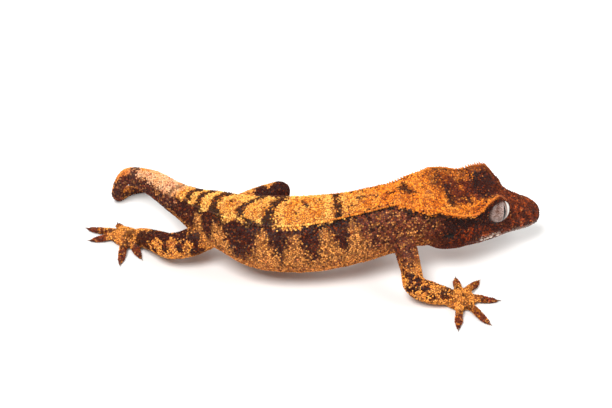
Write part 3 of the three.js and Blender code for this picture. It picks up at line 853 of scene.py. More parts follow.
@dataclass
class Markings:
    """The pattern of the skin, worked out from where a place is on the animal."""

    body: Body
    palette: Palette = field(default_factory=Palette)
    bars: tuple[Bar, ...] = (
        Bar((-40, -29, -6, 24, 40), (16.9, 16.3, 15.6, 14.9, 14.6), 1.0),
        Bar((-60, -56, -35, -6, 30, 45), (34.6, 34.5, 33.8, 33.9, 31.1, 30.6), 1.35),
        Bar((-50, -38, -29, -12, 2, 40), (35.4, 37.2, 40.2, 41.7, 40.8, 37.4), 1.15),
        Bar((-56, -51, -27, -4, 39, 50), (44.6, 45.5, 48.7, 50.3, 50.9, 50.6), 1.55),
        Bar((-50, -20, 0, 45), (52.6, 55.4, 56.3, 56.1), 1.35),
        Bar((-45, 0, 45), (59.2, 61.2, 61.0), 1.25),
    )
    spots: tuple[Spot, ...] = (
        Spot(23.6, 2, 0.95), Spot(8.2, 6, 0.9), Spot(4.0, 1, 0.75), Spot(0.2, -2, 0.7),
        Spot(-3.0, 9, 1.5), Spot(-4.6, -2, 1.3), Spot(-3.4, 18, 1.1), Spot(20.2, 15, 0.55),
        Spot(26.6, -15, 0.5), Spot(45.6, 4, 0.8), Spot(11.6, -13, 0.45), Spot(24.6, 10, 0.5))
    # The lower edge of the golden back: place along the spine and angle from the middle.
    edge_s: tuple[float, ...] = (
        -9, -4, 1.1, 6.8, 12.8, 15.5, 18.5, 23.4, 25.9, 28.4, 30.7,
        34.2, 37.7, 41.0, 44.5, 48.5, 52, 56, 60, 66, 80)
    edge_angle: tuple[float, ...] = (
        52, 45, 30, 28, 31, 30, 38, 36, 41, 48, 42, 34, 44, 36, 52, 36, 46, 38, 44, 40, 46)
    # The upper edge of the belly's colour, in the same way.
    low_s: tuple[float, ...] = (0, 12, 24, 48, 60)
    low_angle: tuple[float, ...] = (108, 103, 104, 105, 100)
    # Where each light column of the side starts and ends along the spine.
    light_columns: tuple[Pair, ...] = (
        (10.7, 14.6), (18.2, 21.4), (26.0, 29.0), (33.2, 36.0), (43.4, 46.6), (50.8, 53.4))
    # Where the tail starts, and the dark bands across its top.
    tail_from: Pair = (63.5, 66.5)
    tail_bands: tuple[float, ...] = (67.6, 83.2, 90.2, 96.4, 102.6, 108.8, 115.0, 121.2, 127.4)
    arch_end: float = 80.0
    # Widths of the blotches of the three noises, and how far they stray the golden edge, in degrees.
    noise_sizes: Triple = (3.2, 1.5, 0.8)
    ragged: Pair = (2.8, 2.2)

    def __post_init__(self) -> None:
        """Makes the noise that breaks up the pattern."""
        self.broad, self.fine, self.grain = Mottle(11), Mottle(12), Mottle(13)

    def colours(self, points: Array, where: Location) -> Array:
        """The colour of each point.

        Args:
            points: Places in the posing frame.
            where: Where they are on the animal.

        Returns:
            Linear colours.
        """
        sources = (self.broad, self.fine, self.grain)
        noise = [source.at(points, size) for source, size in zip(sources, self.noise_sizes)]
        painted = where.weight[:, Part.TRUNK, None] * self._trunk(where, noise)
        painted += where.weight[:, Part.HEAD, None] * self._head(where, noise)
        for index in range(len(self.body.limbs)):
            painted += where.weight[:, 2 + index, None] * self._limb(where, index, noise)
        return np.clip(painted, 0.0, 1.0)

    def _gold(self, ahead: Array, noise: Noise) -> Array:
        """Golden skin with paler and rustier blotches, more orange towards the head."""
        n1, n2, n3 = noise
        c = self.palette
        gold = blend(c.gold, c.orange, 0.75 * ahead)
        gold = blend(gold, c.pale, (0.26 + 0.22 * n1 + 0.22 * n3) * (1 - 0.6 * ahead))
        rusty = ease(0.1, 1.0, -0.6 * n1 - 0.7 * n2 - 0.3 * n3 + 0.05 * ahead)
        return blend(gold, c.rust, rusty * (0.5 + 0.1 * ahead))

    def _speckle(self, noise: Noise) -> Array:
        """Mauve-brown skin of the shoulder and neck, speckled with tan and dark brown."""
        n1, n2, n3 = noise
        c = self.palette
        skin = blend(c.mauve, c.maroon, 0.4 + 0.5 * n2)
        skin = blend(skin, c.blotch, ease(0.15, 1.1, n3 + 0.5 * n1) * 0.55)
        return blend(skin, c.chocolate, ease(0.3, 1.1, -n3 - 0.4 * n1) * 0.5)

    def _trunk(self, where: Location, noise: Noise) -> Array:
        """The golden back with its bars, the dark columned sides, the pale belly and the tail."""
        _, n2, n3 = noise
        side = np.abs(where.angle)
        edge = (np.interp(where.s, self.edge_s, self.edge_angle)
                + self.ragged[0] * n2 + self.ragged[1] * n3)
        back = self._back(where, edge, noise)
        flank = self._flank(where, edge, noise)
        whole = blend(flank, back, ease(edge + 1.4, edge - 0.8, side))
        return self._tail(where, whole, noise)

    def _back(self, where: Location, edge: Array, noise: Noise) -> Array:
        """The golden back, paler along its edge, with its dark bars and spots."""
        n1, n2, n3 = noise
        c, s = self.palette, where.s
        side = np.abs(where.angle)
        back = self._gold(ease(14.0, 0.0, s), noise)
        paler = bell(side - edge + 7, 6.0) * ease(14.0, 20.0, s)
        back = blend(back, c.pale, paler * (0.45 + 0.3 * n3))
        for bar in self.bars:
            place = np.interp(where.angle, bar.angles, bar.places) + 0.45 * n2 + 0.35 * n3
            width = bar.width * (1.12 + 0.25 * n1 + 0.45 * ease(16.0, 40.0, side))
            back = blend(back, c.pale, 0.55 * bell(np.abs(s - place) - width - 1.1, 0.9))
            back = blend(back, c.chocolate, 0.96 * ease(1.05, 0.6, np.abs(s - place) / width))
        for spot in self.spots:
            away = np.hypot(s - spot.s, np.radians(where.angle - spot.angle) * 9.0) / spot.radius
            back = blend(back, c.chocolate, ease(1.3, 0.7, away + 0.3 * n3) * 0.9)
        return back

    def _flank(self, where: Location, edge: Array, noise: Noise) -> Array:
        """The dark side with its light columns, the speckled shoulder, the belly and the black edge."""
        n1, n2, n3 = noise
        c, s = self.palette, where.s
        side = np.abs(where.angle)
        flank = blend(c.maroon, c.umber, 0.5 + 0.6 * n2)
        flank = blend(flank, c.mauve, 0.04 + 0.28 * n3)
        column = np.zeros(len(s))
        across = s + (side - 55.0) * 0.02 + 0.55 * n2 + 0.5 * n3
        grow = np.clip((side - 66.0) * 0.05, -1.3, 1.8)
        for start, end in self.light_columns:
            front = ease(start - 0.6 - grow, start + 0.4 - grow, across)
            rear = ease(end + 0.6 + grow, end - 0.4 + grow, across)
            column = np.maximum(column, front * rear)
        column *= ease(edge + 1.0, edge + 9.0, side + 5 * n2)
        flank = blend(flank, c.chocolate, ease(0.4, 1.1, n1 + 0.5 * n3) * (1 - column) * 0.6)
        flank = blend(flank, c.blotch, column * (0.7 + 0.3 * n3))
        flank = blend(flank, self._speckle(noise), ease(12.5, 8.0, s + n2))
        under = blend(c.belly, c.mauve, 0.22 + 0.5 * n3 + 0.25 * n2)
        low = np.interp(s, self.low_s, self.low_angle)
        flank = blend(flank, under, ease(low - 8, low + 12, side + 8 * n2 + 4 * n3))
        line = bell(side - edge - 3.6, 4.2 + 1.4 * n1) * ease(30.0, 17.0, s)
        return blend(flank, c.black, line * (1.1 - 0.3 * column))

    def _tail(self, where: Location, trunk: Array, noise: Noise) -> Array:
        """The cream and orange top of the tail with its dark bands, and its plum sides."""
        n1, n2, n3 = noise
        c, s = self.palette, where.s
        side = np.abs(where.angle)
        top = blend(c.cream, c.gold, 0.35 + 0.3 * n1 + 0.25 * n3)
        top = blend(top, c.gold, ease(83.0, 85.0, s) * 0.8)
        top = blend(top, c.ember, ease(0.4, 1.2, n2 - n1) * 0.4)
        for band in self.tail_bands:
            strength = 0.95 if band > self.arch_end else 0.6
            top = blend(top, c.plum, strength * ease(1.15, 0.55, np.abs(s + 0.4 * n2 - band)))
        sides = blend(c.plum, c.mauve, 0.25 + 0.5 * n3)
        sides = blend(sides, c.blotch, ease(0.4, 1.1, n1 + 0.5 * n3) * 0.5)
        edge = 50.0 + 7 * n2
        tail = blend(sides, top, ease(edge + 5, edge - 3, side))
        tail = blend(tail, c.mauve, ease(120, 150, side) * 0.5)
        return blend(trunk, tail, ease(*self.tail_from, s + 0.8 * n2))

    def _head(self, where: Location, noise: Noise) -> Array:
        """The red-brown crown with its golden edges and streak, the face, the lips and the throat."""
        _, n2, n3 = noise
        c, head = self.palette, self.body.head
        f, y, u = where.head.T
        rim = head.size("crest_up", np.clip(f, 0.3, 34.0)) - 0.9
        crown, face = self._crown(f, y, noise), self._face(f, u, rim, noise)
        whole = blend(face, crown, ease(rim - 0.6, rim + 0.25, u + 0.25 * n3))
        throat = ease(2.4, -1.6, u + 0.7 * n2) * ease(26.0, 14.0, f)
        whole = blend(whole, c.mauve, throat * (0.6 + 0.3 * n3))
        whole = blend(whole, c.belly, ease(-2.0, -3.6, u + 0.3 * n3) * 0.6)
        patch = ease(13.6, 14.8, f + 0.4 * n3) * ease(21.6, 20.2, f) * bell(u - 0.3, 1.05)
        whole = blend(whole, c.lip, patch * (0.95 - 0.9 * ease(0.3, 0.9, n2 - 0.3 * n3)))
        rest = ease(21.5, 22.5, f) * bell(u - 0.2, 0.55)
        whole = blend(whole, c.lip, rest * 0.28)
        # Painted shade: the ear opening is painted black, as it lies in shade.
        ear = head.from_ear(np.column_stack([f, np.abs(y), u]), 1)
        whole = blend(whole, c.black, ease(1.5, 0.9, ear + 0.15 * n3) * 0.9)
        return blend(whole, c.umber, ease(31.0, 33.5, f) * 0.5)

    def _crown(self, f: Array, y: Array, noise: Noise) -> Array:
        """The top of the head and of the snout, by the place forward and to the left."""
        n1, n2, n3 = noise
        c = self.palette
        gold = self._gold(np.ones(len(f)), noise)
        darker = ease(-0.1, 1.0, n1 - 0.4 * n3) * 0.7
        crown = blend(c.crown, c.umber, darker)
        crown = blend(crown, gold, ease(0.35, 1.1, n2 - 0.3 * n1 + 0.3 * n3) * 0.5)
        near_edge = ease(2.8, 5.6, np.abs(y) - 0.9 * (y < 0) + 1.3 * n2 + 0.6 * n3)
        golden = np.maximum(ease(5.5, 0.5, f + 1.2 * n2 + 0.25 * y),
                            near_edge * ease(17.6, 13.6, f + 1.4 * n2))
        golden *= 1.0 - 0.65 * ease(-2.0, 4.0, y + n2) * ease(-1.0, 3.0, f)
        broken = ease(0.35, 0.9, 0.6 * n1 + 0.6 * n2 + 0.3 * n3)
        golden *= 1.0 - 0.7 * broken * ease(-4.0, 1.0, y)
        crown = blend(crown, gold, golden * (1.0 + 0.15 * n3))
        streak = np.abs(f - 4.8 - 0.6 * n2 + 0.04 * y) / (0.9 + 0.3 * n1)
        dark = ease(1.2, 0.6, streak) * ease(7.6, 5.8, np.abs(y))
        crown = blend(crown, c.chocolate, dark * 0.9)
        crown = blend(crown, c.snout, ease(18.5, 22.0, f + n2) * 0.8)
        streaks = ease(0.25, 0.8, n2 + 0.5 * n1)
        return blend(crown, c.streak, streaks * ease(19.0, 22.0, f) * 0.6)

    def _face(self, f: Array, u: Array, rim: Array, noise: Noise) -> Array:
        """The side of the head below its golden rim, by the place forward and up."""
        n1, n2, n3 = noise
        c = self.palette
        face = blend(c.cheek, c.umber, 0.55 + 0.6 * n2)
        face = blend(face, c.ember, ease(0.5, 1.3, n3 + 0.6 * n1) * 0.5)
        shaded = ease(5.4, 7.4, u + 0.8 * n2) * ease(16.5, 13.5, f)
        face = blend(face, c.chocolate, shaded * 0.85)
        face = blend(face, c.rust, bell(f - 15.6, 1.3) * bell(u - 2.5, 1.2) * 1.1)
        streaks = ease(0.1, 0.7, 0.5 * n1 + 0.9 * n2)
        face = blend(face, c.snout, ease(17.0, 21.0, f) * 0.6)
        face = blend(face, c.streak, streaks * ease(20.5, 23.0, f) * 0.62)
        face = blend(face, self._speckle(noise), ease(3.5, -1.0, f + 0.8 * n2))
        line = bell(u - rim + 1.5, 0.9) * ease(15.5, 12.5, f)
        line = np.maximum(line, bell(f - 5.4, 0.6) * ease(7.2, 8.6, u))
        return blend(face, c.black, line * 0.9)

    def _limb(self, where: Location, index: int, noise: Noise) -> Array:
        """The orange limbs with dark mottling, and the red-brown toes."""
        n1, n2, n3 = noise
        c, t = self.palette, where.limb_t[:, index]
        side = np.abs(where.limb_angle[:, index])
        foot = self.body.limbs[index].foot
        base = blend(c.limb, c.pale, 0.10 + 0.3 * n3)
        base = blend(base, c.rust, 0.16 + 0.35 * n2)
        hind = foot in (Foot.RIGHT_HIND, Foot.LEFT_HIND)
        broad = 0.85 if hind else 0.4
        dark = 1.35 * (foot is Foot.LEFT_HIND) * bell(t - 0.5, 0.16) - 0.05
        dark = dark + (0.75 * bell(t - 0.66, 0.18) - 0.4 * bell(t - 1.02, 0.16)) * hind
        spots = (1.5 if hind else 1.1) * (broad * n1 + (1.15 - broad) * n2) + 0.35 * n3 + dark
        base = blend(base, c.umber, ease(0.08, 0.36, spots))
        base = blend(base, c.belly, ease(105.0, 150.0, side + 8 * n2) * (t < 1) * 0.7)
        if foot in (Foot.RIGHT_FORE, Foot.LEFT_FORE):
            base = blend(base, self._speckle(noise), ease(0.42, 0.22, t + 0.05 * n2))
        palm = blend(base, c.limb, bell(t - 1.12, 0.22) * (0.45 + 0.3 * n3))
        toes = blend(c.toe, c.umber, 0.3 + 0.5 * n2)
        toes = blend(toes, c.gold, ease(0.4, 1.0, n2 + 0.5 * n3) * 0.5)
        whole = blend(palm, toes, ease(1.38, 1.62, t + 0.06 * n2))
        return blend(whole, c.umber, ease(1.82, 1.97, t) * 0.6)


# Node trees


class Tree:
    """Builds a node tree from a method that makes any node, for shaders and for geometry alike."""

    def __init__(self, tree: bpy.types.NodeTree) -> None:
        """Keeps the tree that nodes are added to."""
        self.tree = tree

    def node(self, kind: str, settings: dict | None = None, **sockets: object) -> bpy.types.Node:
        """Adds a node.

        Args:
            kind: Blender's type name of the node.
            settings: Properties of the node, set before its sockets.
            sockets: Values or links for its inputs, by name, with _ for a space. A name that ends in
                a number picks an input by its index, as in_1.

        Returns:
            The node.
        """
        made = self.tree.nodes.new(kind)
        for key, value in (settings or {}).items():
            if key == "stops":
                self._set_stops(made.color_ramp, value)
            else:
                setattr(made, key, value)
        for key, value in sockets.items():
            self.feed(self._input(made, key), value)
        return made

    def feed(self, socket: Socket, value: object) -> None:
        """Sets a socket's value, or links it where the value is a socket."""
        if isinstance(value, Value):
            value = value.socket
        if isinstance(value, Socket):
            self.tree.links.new(value, socket)
        elif value is not None:
            socket.default_value = value

    @staticmethod
    def _input(node: bpy.types.Node, key: str) -> Socket:
        """An input by its index, as in_1, or by its name with _ for a space."""
        if key.startswith("in_") and key[3:].isdigit():
            return node.inputs[int(key[3:])]
        wanted = key.replace("_", " ").lower()
        return next(s for s in node.inputs if s.name.lower() == wanted and s.enabled)

    @staticmethod
    def _set_stops(ramp: bpy.types.ColorRamp, stops: list[tuple[float, tuple]]) -> None:
        """Gives a ramp its places and colours."""
        while len(ramp.elements) < len(stops):
            ramp.elements.new(0.5)
        for element, (place, colour) in zip(ramp.elements, stops):
            element.position = place
            element.color = colour


class Value:
    """A number socket whose arithmetic adds Math nodes."""

    def __init__(self, tree: Tree, socket: Socket) -> None:
        """Wraps a socket of a tree."""
        self.tree, self.socket = tree, socket

    def _math(self, operation: str, first: object, second: object = 0.0) -> Value:
        """A Math node on two numbers."""
        node = self.tree.node("ShaderNodeMath", {"operation": operation}, in_0=first, in_1=second)
        return Value(self.tree, node.outputs[0])

    def __add__(self, other: object) -> Value:
        """Sum."""
        return self._math("ADD", self, other)

    def __radd__(self, other: object) -> Value:
        """Sum with a number on the left."""
        return self._math("ADD", other, self)

    def __sub__(self, other: object) -> Value:
        """Difference."""
        return self._math("SUBTRACT", self, other)

    def __rsub__(self, other: object) -> Value:
        """Difference from a number on the left."""
        return self._math("SUBTRACT", other, self)

    def __mul__(self, other: object) -> Value:
        """Product."""
        return self._math("MULTIPLY", self, other)

    def __rmul__(self, other: object) -> Value:
        """Product with a number on the left."""
        return self._math("MULTIPLY", other, self)

    def __truediv__(self, other: object) -> Value:
        """Quotient."""
        return self._math("DIVIDE", self, other)

    def __abs__(self) -> Value:
        """Size without its sign."""
        return self._math("ABSOLUTE", self)

    def root(self) -> Value:
        """Square root."""
        return self._math("SQRT", self)

    def step(self, low: float, high: float) -> Value:
        """A smooth ramp from 0 at low to 1 at high."""
        node = self.tree.node("ShaderNodeMapRange", {"interpolation_type": "SMOOTHSTEP"}, Value=self,
                              From_Min=low, From_Max=high)
        return Value(self.tree, node.outputs[0])


class ShaderTree(Tree):
    """A material's nodes, ending in one Principled shader."""

    def __init__(self, name: str) -> None:
        """Starts a material with an output and nothing else."""
        self.material = bpy.data.materials.new(name)
        self.material.use_nodes = True
        self.material.node_tree.nodes.clear()
        super().__init__(self.material.node_tree)

    def attribute(self, name: str) -> Socket:
        """A mesh attribute's colour or vector."""
        node = self.node("ShaderNodeAttribute", {"attribute_name": name})
        return node.outputs["Color"]

    def place(self) -> Socket:
        """Object coordinates, in metres."""
        return self.node("ShaderNodeTexCoord").outputs["Object"]

    def noise(self, per_metre: float, detail: float = 2.0, roughness: float = 0.5) -> Value:
        """Noise with a given number of waves in a metre."""
        node = self.node("ShaderNodeTexNoise", None, Vector=self.place(), Scale=per_metre, Detail=detail,
                         Roughness=roughness)
        return Value(self, node.outputs[0])

    def mix(self, base: object, top: object, share: object, mode: str = "MIX") -> Socket:
        """One colour over another."""
        node = self.tree.nodes.new("ShaderNodeMix")
        node.data_type, node.blend_type = "RGBA", mode
        node.clamp_factor = True
        inputs = {s.identifier: s for s in node.inputs}
        self.feed(inputs["Factor_Float"], share)
        self.feed(inputs["A_Color"], base)
        self.feed(inputs["B_Color"], top)
        return next(s for s in node.outputs if s.identifier == "Result_Color")

    def finish(self, colour: object, roughness: object, normal: object = None,
               **constants: object) -> None:
        """Ends the tree in a Principled shader."""
        shader = self.node("ShaderNodeBsdfPrincipled", None, Base_Color=colour, Roughness=roughness,
                           Normal=normal, **constants)
        self.node("ShaderNodeOutputMaterial", None, Surface=shader.outputs[0])

    def bump(self, height: object, strength: float, distance: float) -> Socket:
        """A bumped normal."""
        node = self.node("ShaderNodeBump", None, Height=height, Strength=strength, Distance=distance)
        return node.outputs[0]


@dataclass(frozen=True)
class SkinFinish:
    """Dry skin between the scales, painted with the markings and darkened in patches by the shade factor, as
    painted shade in the gaps under the scales.
    """

    name: str
    roughness: float
    # How dark the painted shade in the gaps between the scales makes the skin, as a factor on its colour.
    shade: float

    def material(self) -> Material:
        """The material."""
        t = ShaderTree(self.name)
        speckle = t.noise(1500.0, 3.0, 0.6)
        paint = t.attribute(COLOUR_LAYER)
        # Painted shade: the markings multiplied down by the shade factor in noisy patches, for the gaps
        # between the scales.
        dark = t.mix(paint, (self.shade, self.shade, self.shade, 1.0), 1.0, "MULTIPLY")
        colour = t.mix(dark, paint, speckle.step(0.35, 0.65))
        rough = self.roughness + speckle * 0.12
        t.finish(colour, rough, t.bump(t.noise(3800.0, 2.0), 0.5, 0.00006), Specular_IOR_Level=0.4)
        return t.material


@dataclass(frozen=True)
class ScaleFinish:
    """Small raised scales, painted one by one, with a faint sheen."""

    name: str
    roughness: float
    specular: float = 0.45

    def material(self) -> Material:
        """The material."""
        t = ShaderTree(self.name)
        paint = t.attribute(COLOUR_LAYER)
        rough = self.roughness + t.noise(900.0) * 0.1
        t.finish(paint, rough, Specular_IOR_Level=self.specular)
        return t.material


@dataclass(frozen=True)
class EyeFinish:
    """A wet silver-grey eye with fine dark veins, a slit pupil and a pale painted highlight at the front."""

    name: str = "eye_wet"
    silver: tuple[float, float, float, float] = (0.34, 0.24, 0.21, 1.0)
    vein: tuple[float, float, float, float] = (0.05, 0.018, 0.012, 1.0)
    warm: tuple[float, float, float, float] = (0.17, 0.08, 0.055, 1.0)
    pupil: tuple[float, float, float, float] = (0.004, 0.003, 0.003, 1.0)
    # A painted highlight: the pale colour laid over the front of the eye.
    front_highlight: tuple[float, float, float, float] = (0.80, 0.76, 0.70, 1.0)
    pupil_at: float = 0.06
    pupil_curve: float = 0.34
    pupil_edge: Pair = (0.042, 0.056)
    # Where across the eye the painted highlight starts and where it is full.
    front_highlight_from: Pair = (0.16, 0.24)
    roughness: float = 0.24

    def material(self) -> Material:
        """The material, on the map that looks down the eye's axis."""
        t = ShaderTree(self.name)
        map_node = t.node("ShaderNodeUVMap", {"uv_map": "iris"})
        parts = t.node("ShaderNodeSeparateXYZ", None, Vector=map_node.outputs[0])
        across, up = (Value(t, parts.outputs[k]) - 0.5 for k in (0, 1))
        radius = (across * across + up * up).root() * 2.0
        veins = t.node("ShaderNodeTexNoise", None, Vector=map_node.outputs[0], Scale=7.0, Detail=3.0,
                       Distortion=2.2)
        lines = 1.0 - abs(Value(t, veins.outputs[0]) - 0.5).step(0.0, 0.06)
        clouds = t.node("ShaderNodeTexNoise", None, Vector=map_node.outputs[0], Scale=5.0)
        cloud = Value(t, clouds.outputs[0])
        colour = t.mix(self.silver, self.warm, cloud.step(0.42, 0.62) * 0.75)
        colour = t.mix(colour, self.vein, lines * 0.9)
        colour = t.mix(colour, self.vein, radius.step(0.72, 0.92) * 0.85)
        # Painted highlight over the front of the eye, fading out at the ball's edge.
        colour = t.mix(colour, self.front_highlight,
                       across.step(*self.front_highlight_from) * (0.95 - radius.step(0.93, 0.99)))
        wave = t.node("ShaderNodeTexNoise", None, Vector=map_node.outputs[0], Scale=22.0)
        ragged = (Value(t, wave.outputs[0]) - 0.5) * 0.05
        slit = abs(across + ragged - self.pupil_at) + up * up * self.pupil_curve
        colour = t.mix(colour, self.silver, slit.step(0.10, 0.07) * 0.6)
        colour = t.mix(colour, self.pupil, 1.0 - slit.step(*self.pupil_edge))
        t.finish(colour, self.roughness, Coat_Weight=0.10, Coat_Roughness=0.04, Specular_IOR_Level=0.25)
        return t.material


@dataclass(frozen=True)
class HornFinish:
    """The dark horn of the claws."""

    name: str = "horn"
    colour: tuple[float, float, float, float] = (0.13, 0.06, 0.035, 1.0)
    roughness: float = 0.28

    def material(self) -> Material:
        """The material."""
        t = ShaderTree(self.name)
        t.finish(self.colour, self.roughness, Specular_IOR_Level=0.55)
        return t.material


@dataclass(frozen=True)
class FloorFinish:
    """A plain pale floor."""

    name: str = "floor_pale"
    colour: tuple[float, float, float, float] = (0.86, 0.855, 0.84, 1.0)
    roughness: float = 0.8

    def material(self) -> Material:
        """The material."""
        t = ShaderTree(self.name)
        t.finish(self.colour, self.roughness)
        return t.material


# The skin


class Zone(IntEnum):
    """Patches of the coat, each of which becomes a piece. BARE has no scales."""

    BARE = 0
    FACE = 1
    CROWN = 2
    NECK = 3
    CHEST = 4
    BELLY = 5
    HIPS = 6
    TAIL = 7
    RIGHT_FORE = 8
    RIGHT_HIND = 9
    LEFT_FORE = 10
    LEFT_HIND = 11


@dataclass
class Skin:
    """The whole flesh as one surface, painted with the markings."""

    body: Body
    markings: Markings
    voxel: float = 0.42
    inset: float = 0.2
    sides: int = 120
    spine_rings: int = 330
    neck_rings: int = 24
    head_rings: int = 90
    lid_sides: int = 64
    limb_rings: int = 70
    limb_sides: int = 40
    palm_rings: int = 22
    toe_rings: int = 40
    toe_sides: int = 24
    smoothing: int = 5
    smooth_shares: Pair = (0.55, -0.57)
    fine_snout: float = 29.5
    fine_mouth: float = 0.9
    fine_eye: float = 4.6
    fine_ear: float = 2.3
    # A dark warm factor on the skin's colour: painted shade for the gaps between the scales.
    between: Triple = (0.37, 0.24, 0.20)
    trunk_zones: tuple[float, ...] = (3.0, 22.0, 41.0, 62.0)
    face_from: float = 13.0
    where: Location = field(init=False)

    def build(self) -> Mesh:
        """Fuses the lofts, smooths them, carves the face and sinks the skin under its coat."""
        shells = [self._body_shell(), *self._lids()]
        for limb in self.body.limbs:
            shells += [self._limb_shell(limb), self._palm(limb)]
            shells += [self._toe(limb, index) for index in range(len(limb.toes))]
        rough = linked("rough_flesh", make_mesh("rough_flesh", shells))
        remesh = rough.modifiers.new("fuse", "REMESH")
        remesh.mode, remesh.voxel_size, remesh.adaptivity = "VOXEL", self.voxel, 0.0
        mesh = evaluated_copy(rough, "skin")
        bpy.data.objects.remove(rough)
        self._smooth(mesh)
        mesh = self._refined(mesh)
        self._carve(mesh)
        self.where = self.body.locate(vertices_of(mesh))
        self._set_zones(mesh)
        return mesh

    def _body_shell(self) -> Shell:
        """Trunk, tail, neck and head as one loft from the tip of the tail to the snout."""
        spine, head = self.body.spine, self.body.head
        angle = circle(self.sides)
        rings = []
        for s in np.linspace(spine.length, 0.0, self.spine_rings):
            rings.append(spine.surface(np.full(self.sides, s), angle))
        tip = rings[0]
        middle = tip.mean(axis=0)
        beyond = -spine.forward[-1]
        round_tip = [middle + (tip - middle) * np.cos(a) + beyond * 0.8 * np.sin(a)
                     for a in (1.35, 1.0, 0.5)]
        for u in np.linspace(1.0, 0.0, self.neck_rings)[1:]:
            rings.append(self.body.neck_ring(float(u), self.sides))
        first, last = head.places[0], head.places[-1]
        for t in np.linspace(0.0, 1.0, self.head_rings):
            rings.append(head.ring(float(first + (last - first) * (1 - (1 - t) ** 1.25)), self.sides))
        return loft(np.array(round_tip + rings))

    def _lids(self) -> list[Shell]:
        """A cup of skin round each eyeball, with a rounded edge that the eye looks out of."""
        head, shells = self.body.head, []
        size, out = head.eye_radius + head.lid_wall, head.lid_out
        edge = float(np.arcsin(out / size))
        outline = [(size * np.cos(a), size * np.sin(a)) for a in np.linspace(-1.45, edge - 0.06, 26)]
        rim = size * np.cos(edge)
        outline += [(rim - 0.12, out + 0.14), (rim - 0.42, out + 0.16), (rim - 0.75, out - 0.1)]
        outline += [(1.2, out - 0.5)]
        turn = circle(self.lid_sides)
        for side in (-1, 1):
            middle, axis = head.eye(side)
            across = unit(np.cross(UP, axis))
            round_it = across * np.cos(turn)[:, None] + np.cross(axis, across) * np.sin(turn)[:, None]
            rings = np.array([middle + round_it * radius + axis * height for radius, height in outline])
            shells.append(loft(head.to_world(rings)))
        return shells

    def _limb_shell(self, limb: Limb) -> Shell:
        """A limb's tube from inside the trunk to the wrist."""
        t = np.linspace(0.0, 1.0, self.limb_rings)
        line = limb.points(t)
        tangent = unit(np.gradient(line, axis=0))
        left = unit(np.cross(UP, tangent))
        up = np.cross(tangent, left)
        a = circle(self.limb_sides)
        ring = left[:, None] * np.cos(a)[:, None] + up[:, None] * np.sin(a)[:, None]
        return loft(line[:, None] + ring * limb.radius(t)[:, None, None])

    def _palm(self, limb: Limb) -> Shell:
        """The low oval body of a hand or foot."""
        top, height = np.pi / 2 - 0.08, 1.25
        latitude, longitude = np.linspace(-top, top, self.palm_rings), circle(self.limb_sides)
        ball = np.stack([np.outer(np.cos(latitude), np.cos(longitude)),
                         np.outer(np.cos(latitude), np.sin(longitude)),
                         np.outer(np.sin(latitude), np.ones(self.limb_sides))], axis=-1)
        turn = turned(2, limb.heading)
        return loft(ball * np.array(limb.palm) @ turn.T + np.array([*limb.sole, height]))

    def _toe(self, limb: Limb, index: int) -> Shell:
        """A toe, narrow behind its knuckle and wide at its pad."""
        along, across, _ = limb.toe_frame(index)
        t = np.linspace(TOE_SHAPE[0, 0], 1.0, self.toe_rings)
        half, height, thick = (through(TOE_SHAPE[:, 0], TOE_SHAPE[:, k], t) for k in (1, 2, 3))
        a = circle(self.toe_sides)
        middle = limb.on_toe(index, t, height)
        ring = (across * (half[:, None] * np.cos(a))[..., None]
                + UP * (thick[:, None] * np.sin(a))[..., None])
        return loft(middle[:, None] + ring)

    def _smooth(self, mesh: Mesh) -> None:
        """Rounds off the joins, with little loss of volume."""
        edges = np.empty(len(mesh.edges) * 2, np.int32)
        mesh.edges.foreach_get("vertices", edges)
        edges = edges.reshape(-1, 2)
        points = vertices_of(mesh)
        degree = np.bincount(edges.ravel(), minlength=len(points))[:, None]
        for step in range(2 * self.smoothing):
            total = np.zeros_like(points)
            for k in range(3):
                total[:, k] = (np.bincount(edges[:, 0], points[edges[:, 1], k], len(points))
                               + np.bincount(edges[:, 1], points[edges[:, 0], k], len(points)))
            points = points + self.smooth_shares[step % 2] * (total / degree - points)
        set_vertices(mesh, points)

    def _refined(self, mesh: Mesh) -> Mesh:
        """Splits the faces near the eyes, the mouth and the nose, where the forms are finer."""
        head = self.body.head
        local = head.to_local(vertices_of(mesh))
        fine = local[:, 0] > self.fine_snout
        _, gap = nearest(local, head.mouth_line())
        fine |= gap < self.fine_mouth
        for side in (-1, 1):
            distance, out = head.from_eye(local, side)
            fine |= (distance < self.fine_eye) & (out > 0.6)
            fine |= np.linalg.norm(local - sided(head.ear_at, side), axis=1) < self.fine_ear
        fine &= local[:, 0] > -2.0
        work = bmesh.new()
        work.from_mesh(mesh)
        work.verts.ensure_lookup_table()
        edges = [e for e in work.edges if fine[e.verts[0].index] and fine[e.verts[1].index]]
        bmesh.ops.subdivide_edges(work, edges=edges, cuts=1, use_grid_fill=True, smooth=0.3)
        bmesh.ops.triangulate(work, faces=[f for f in work.faces if len(f.verts) > 4])
        work.to_mesh(mesh)
        work.free()
        return mesh

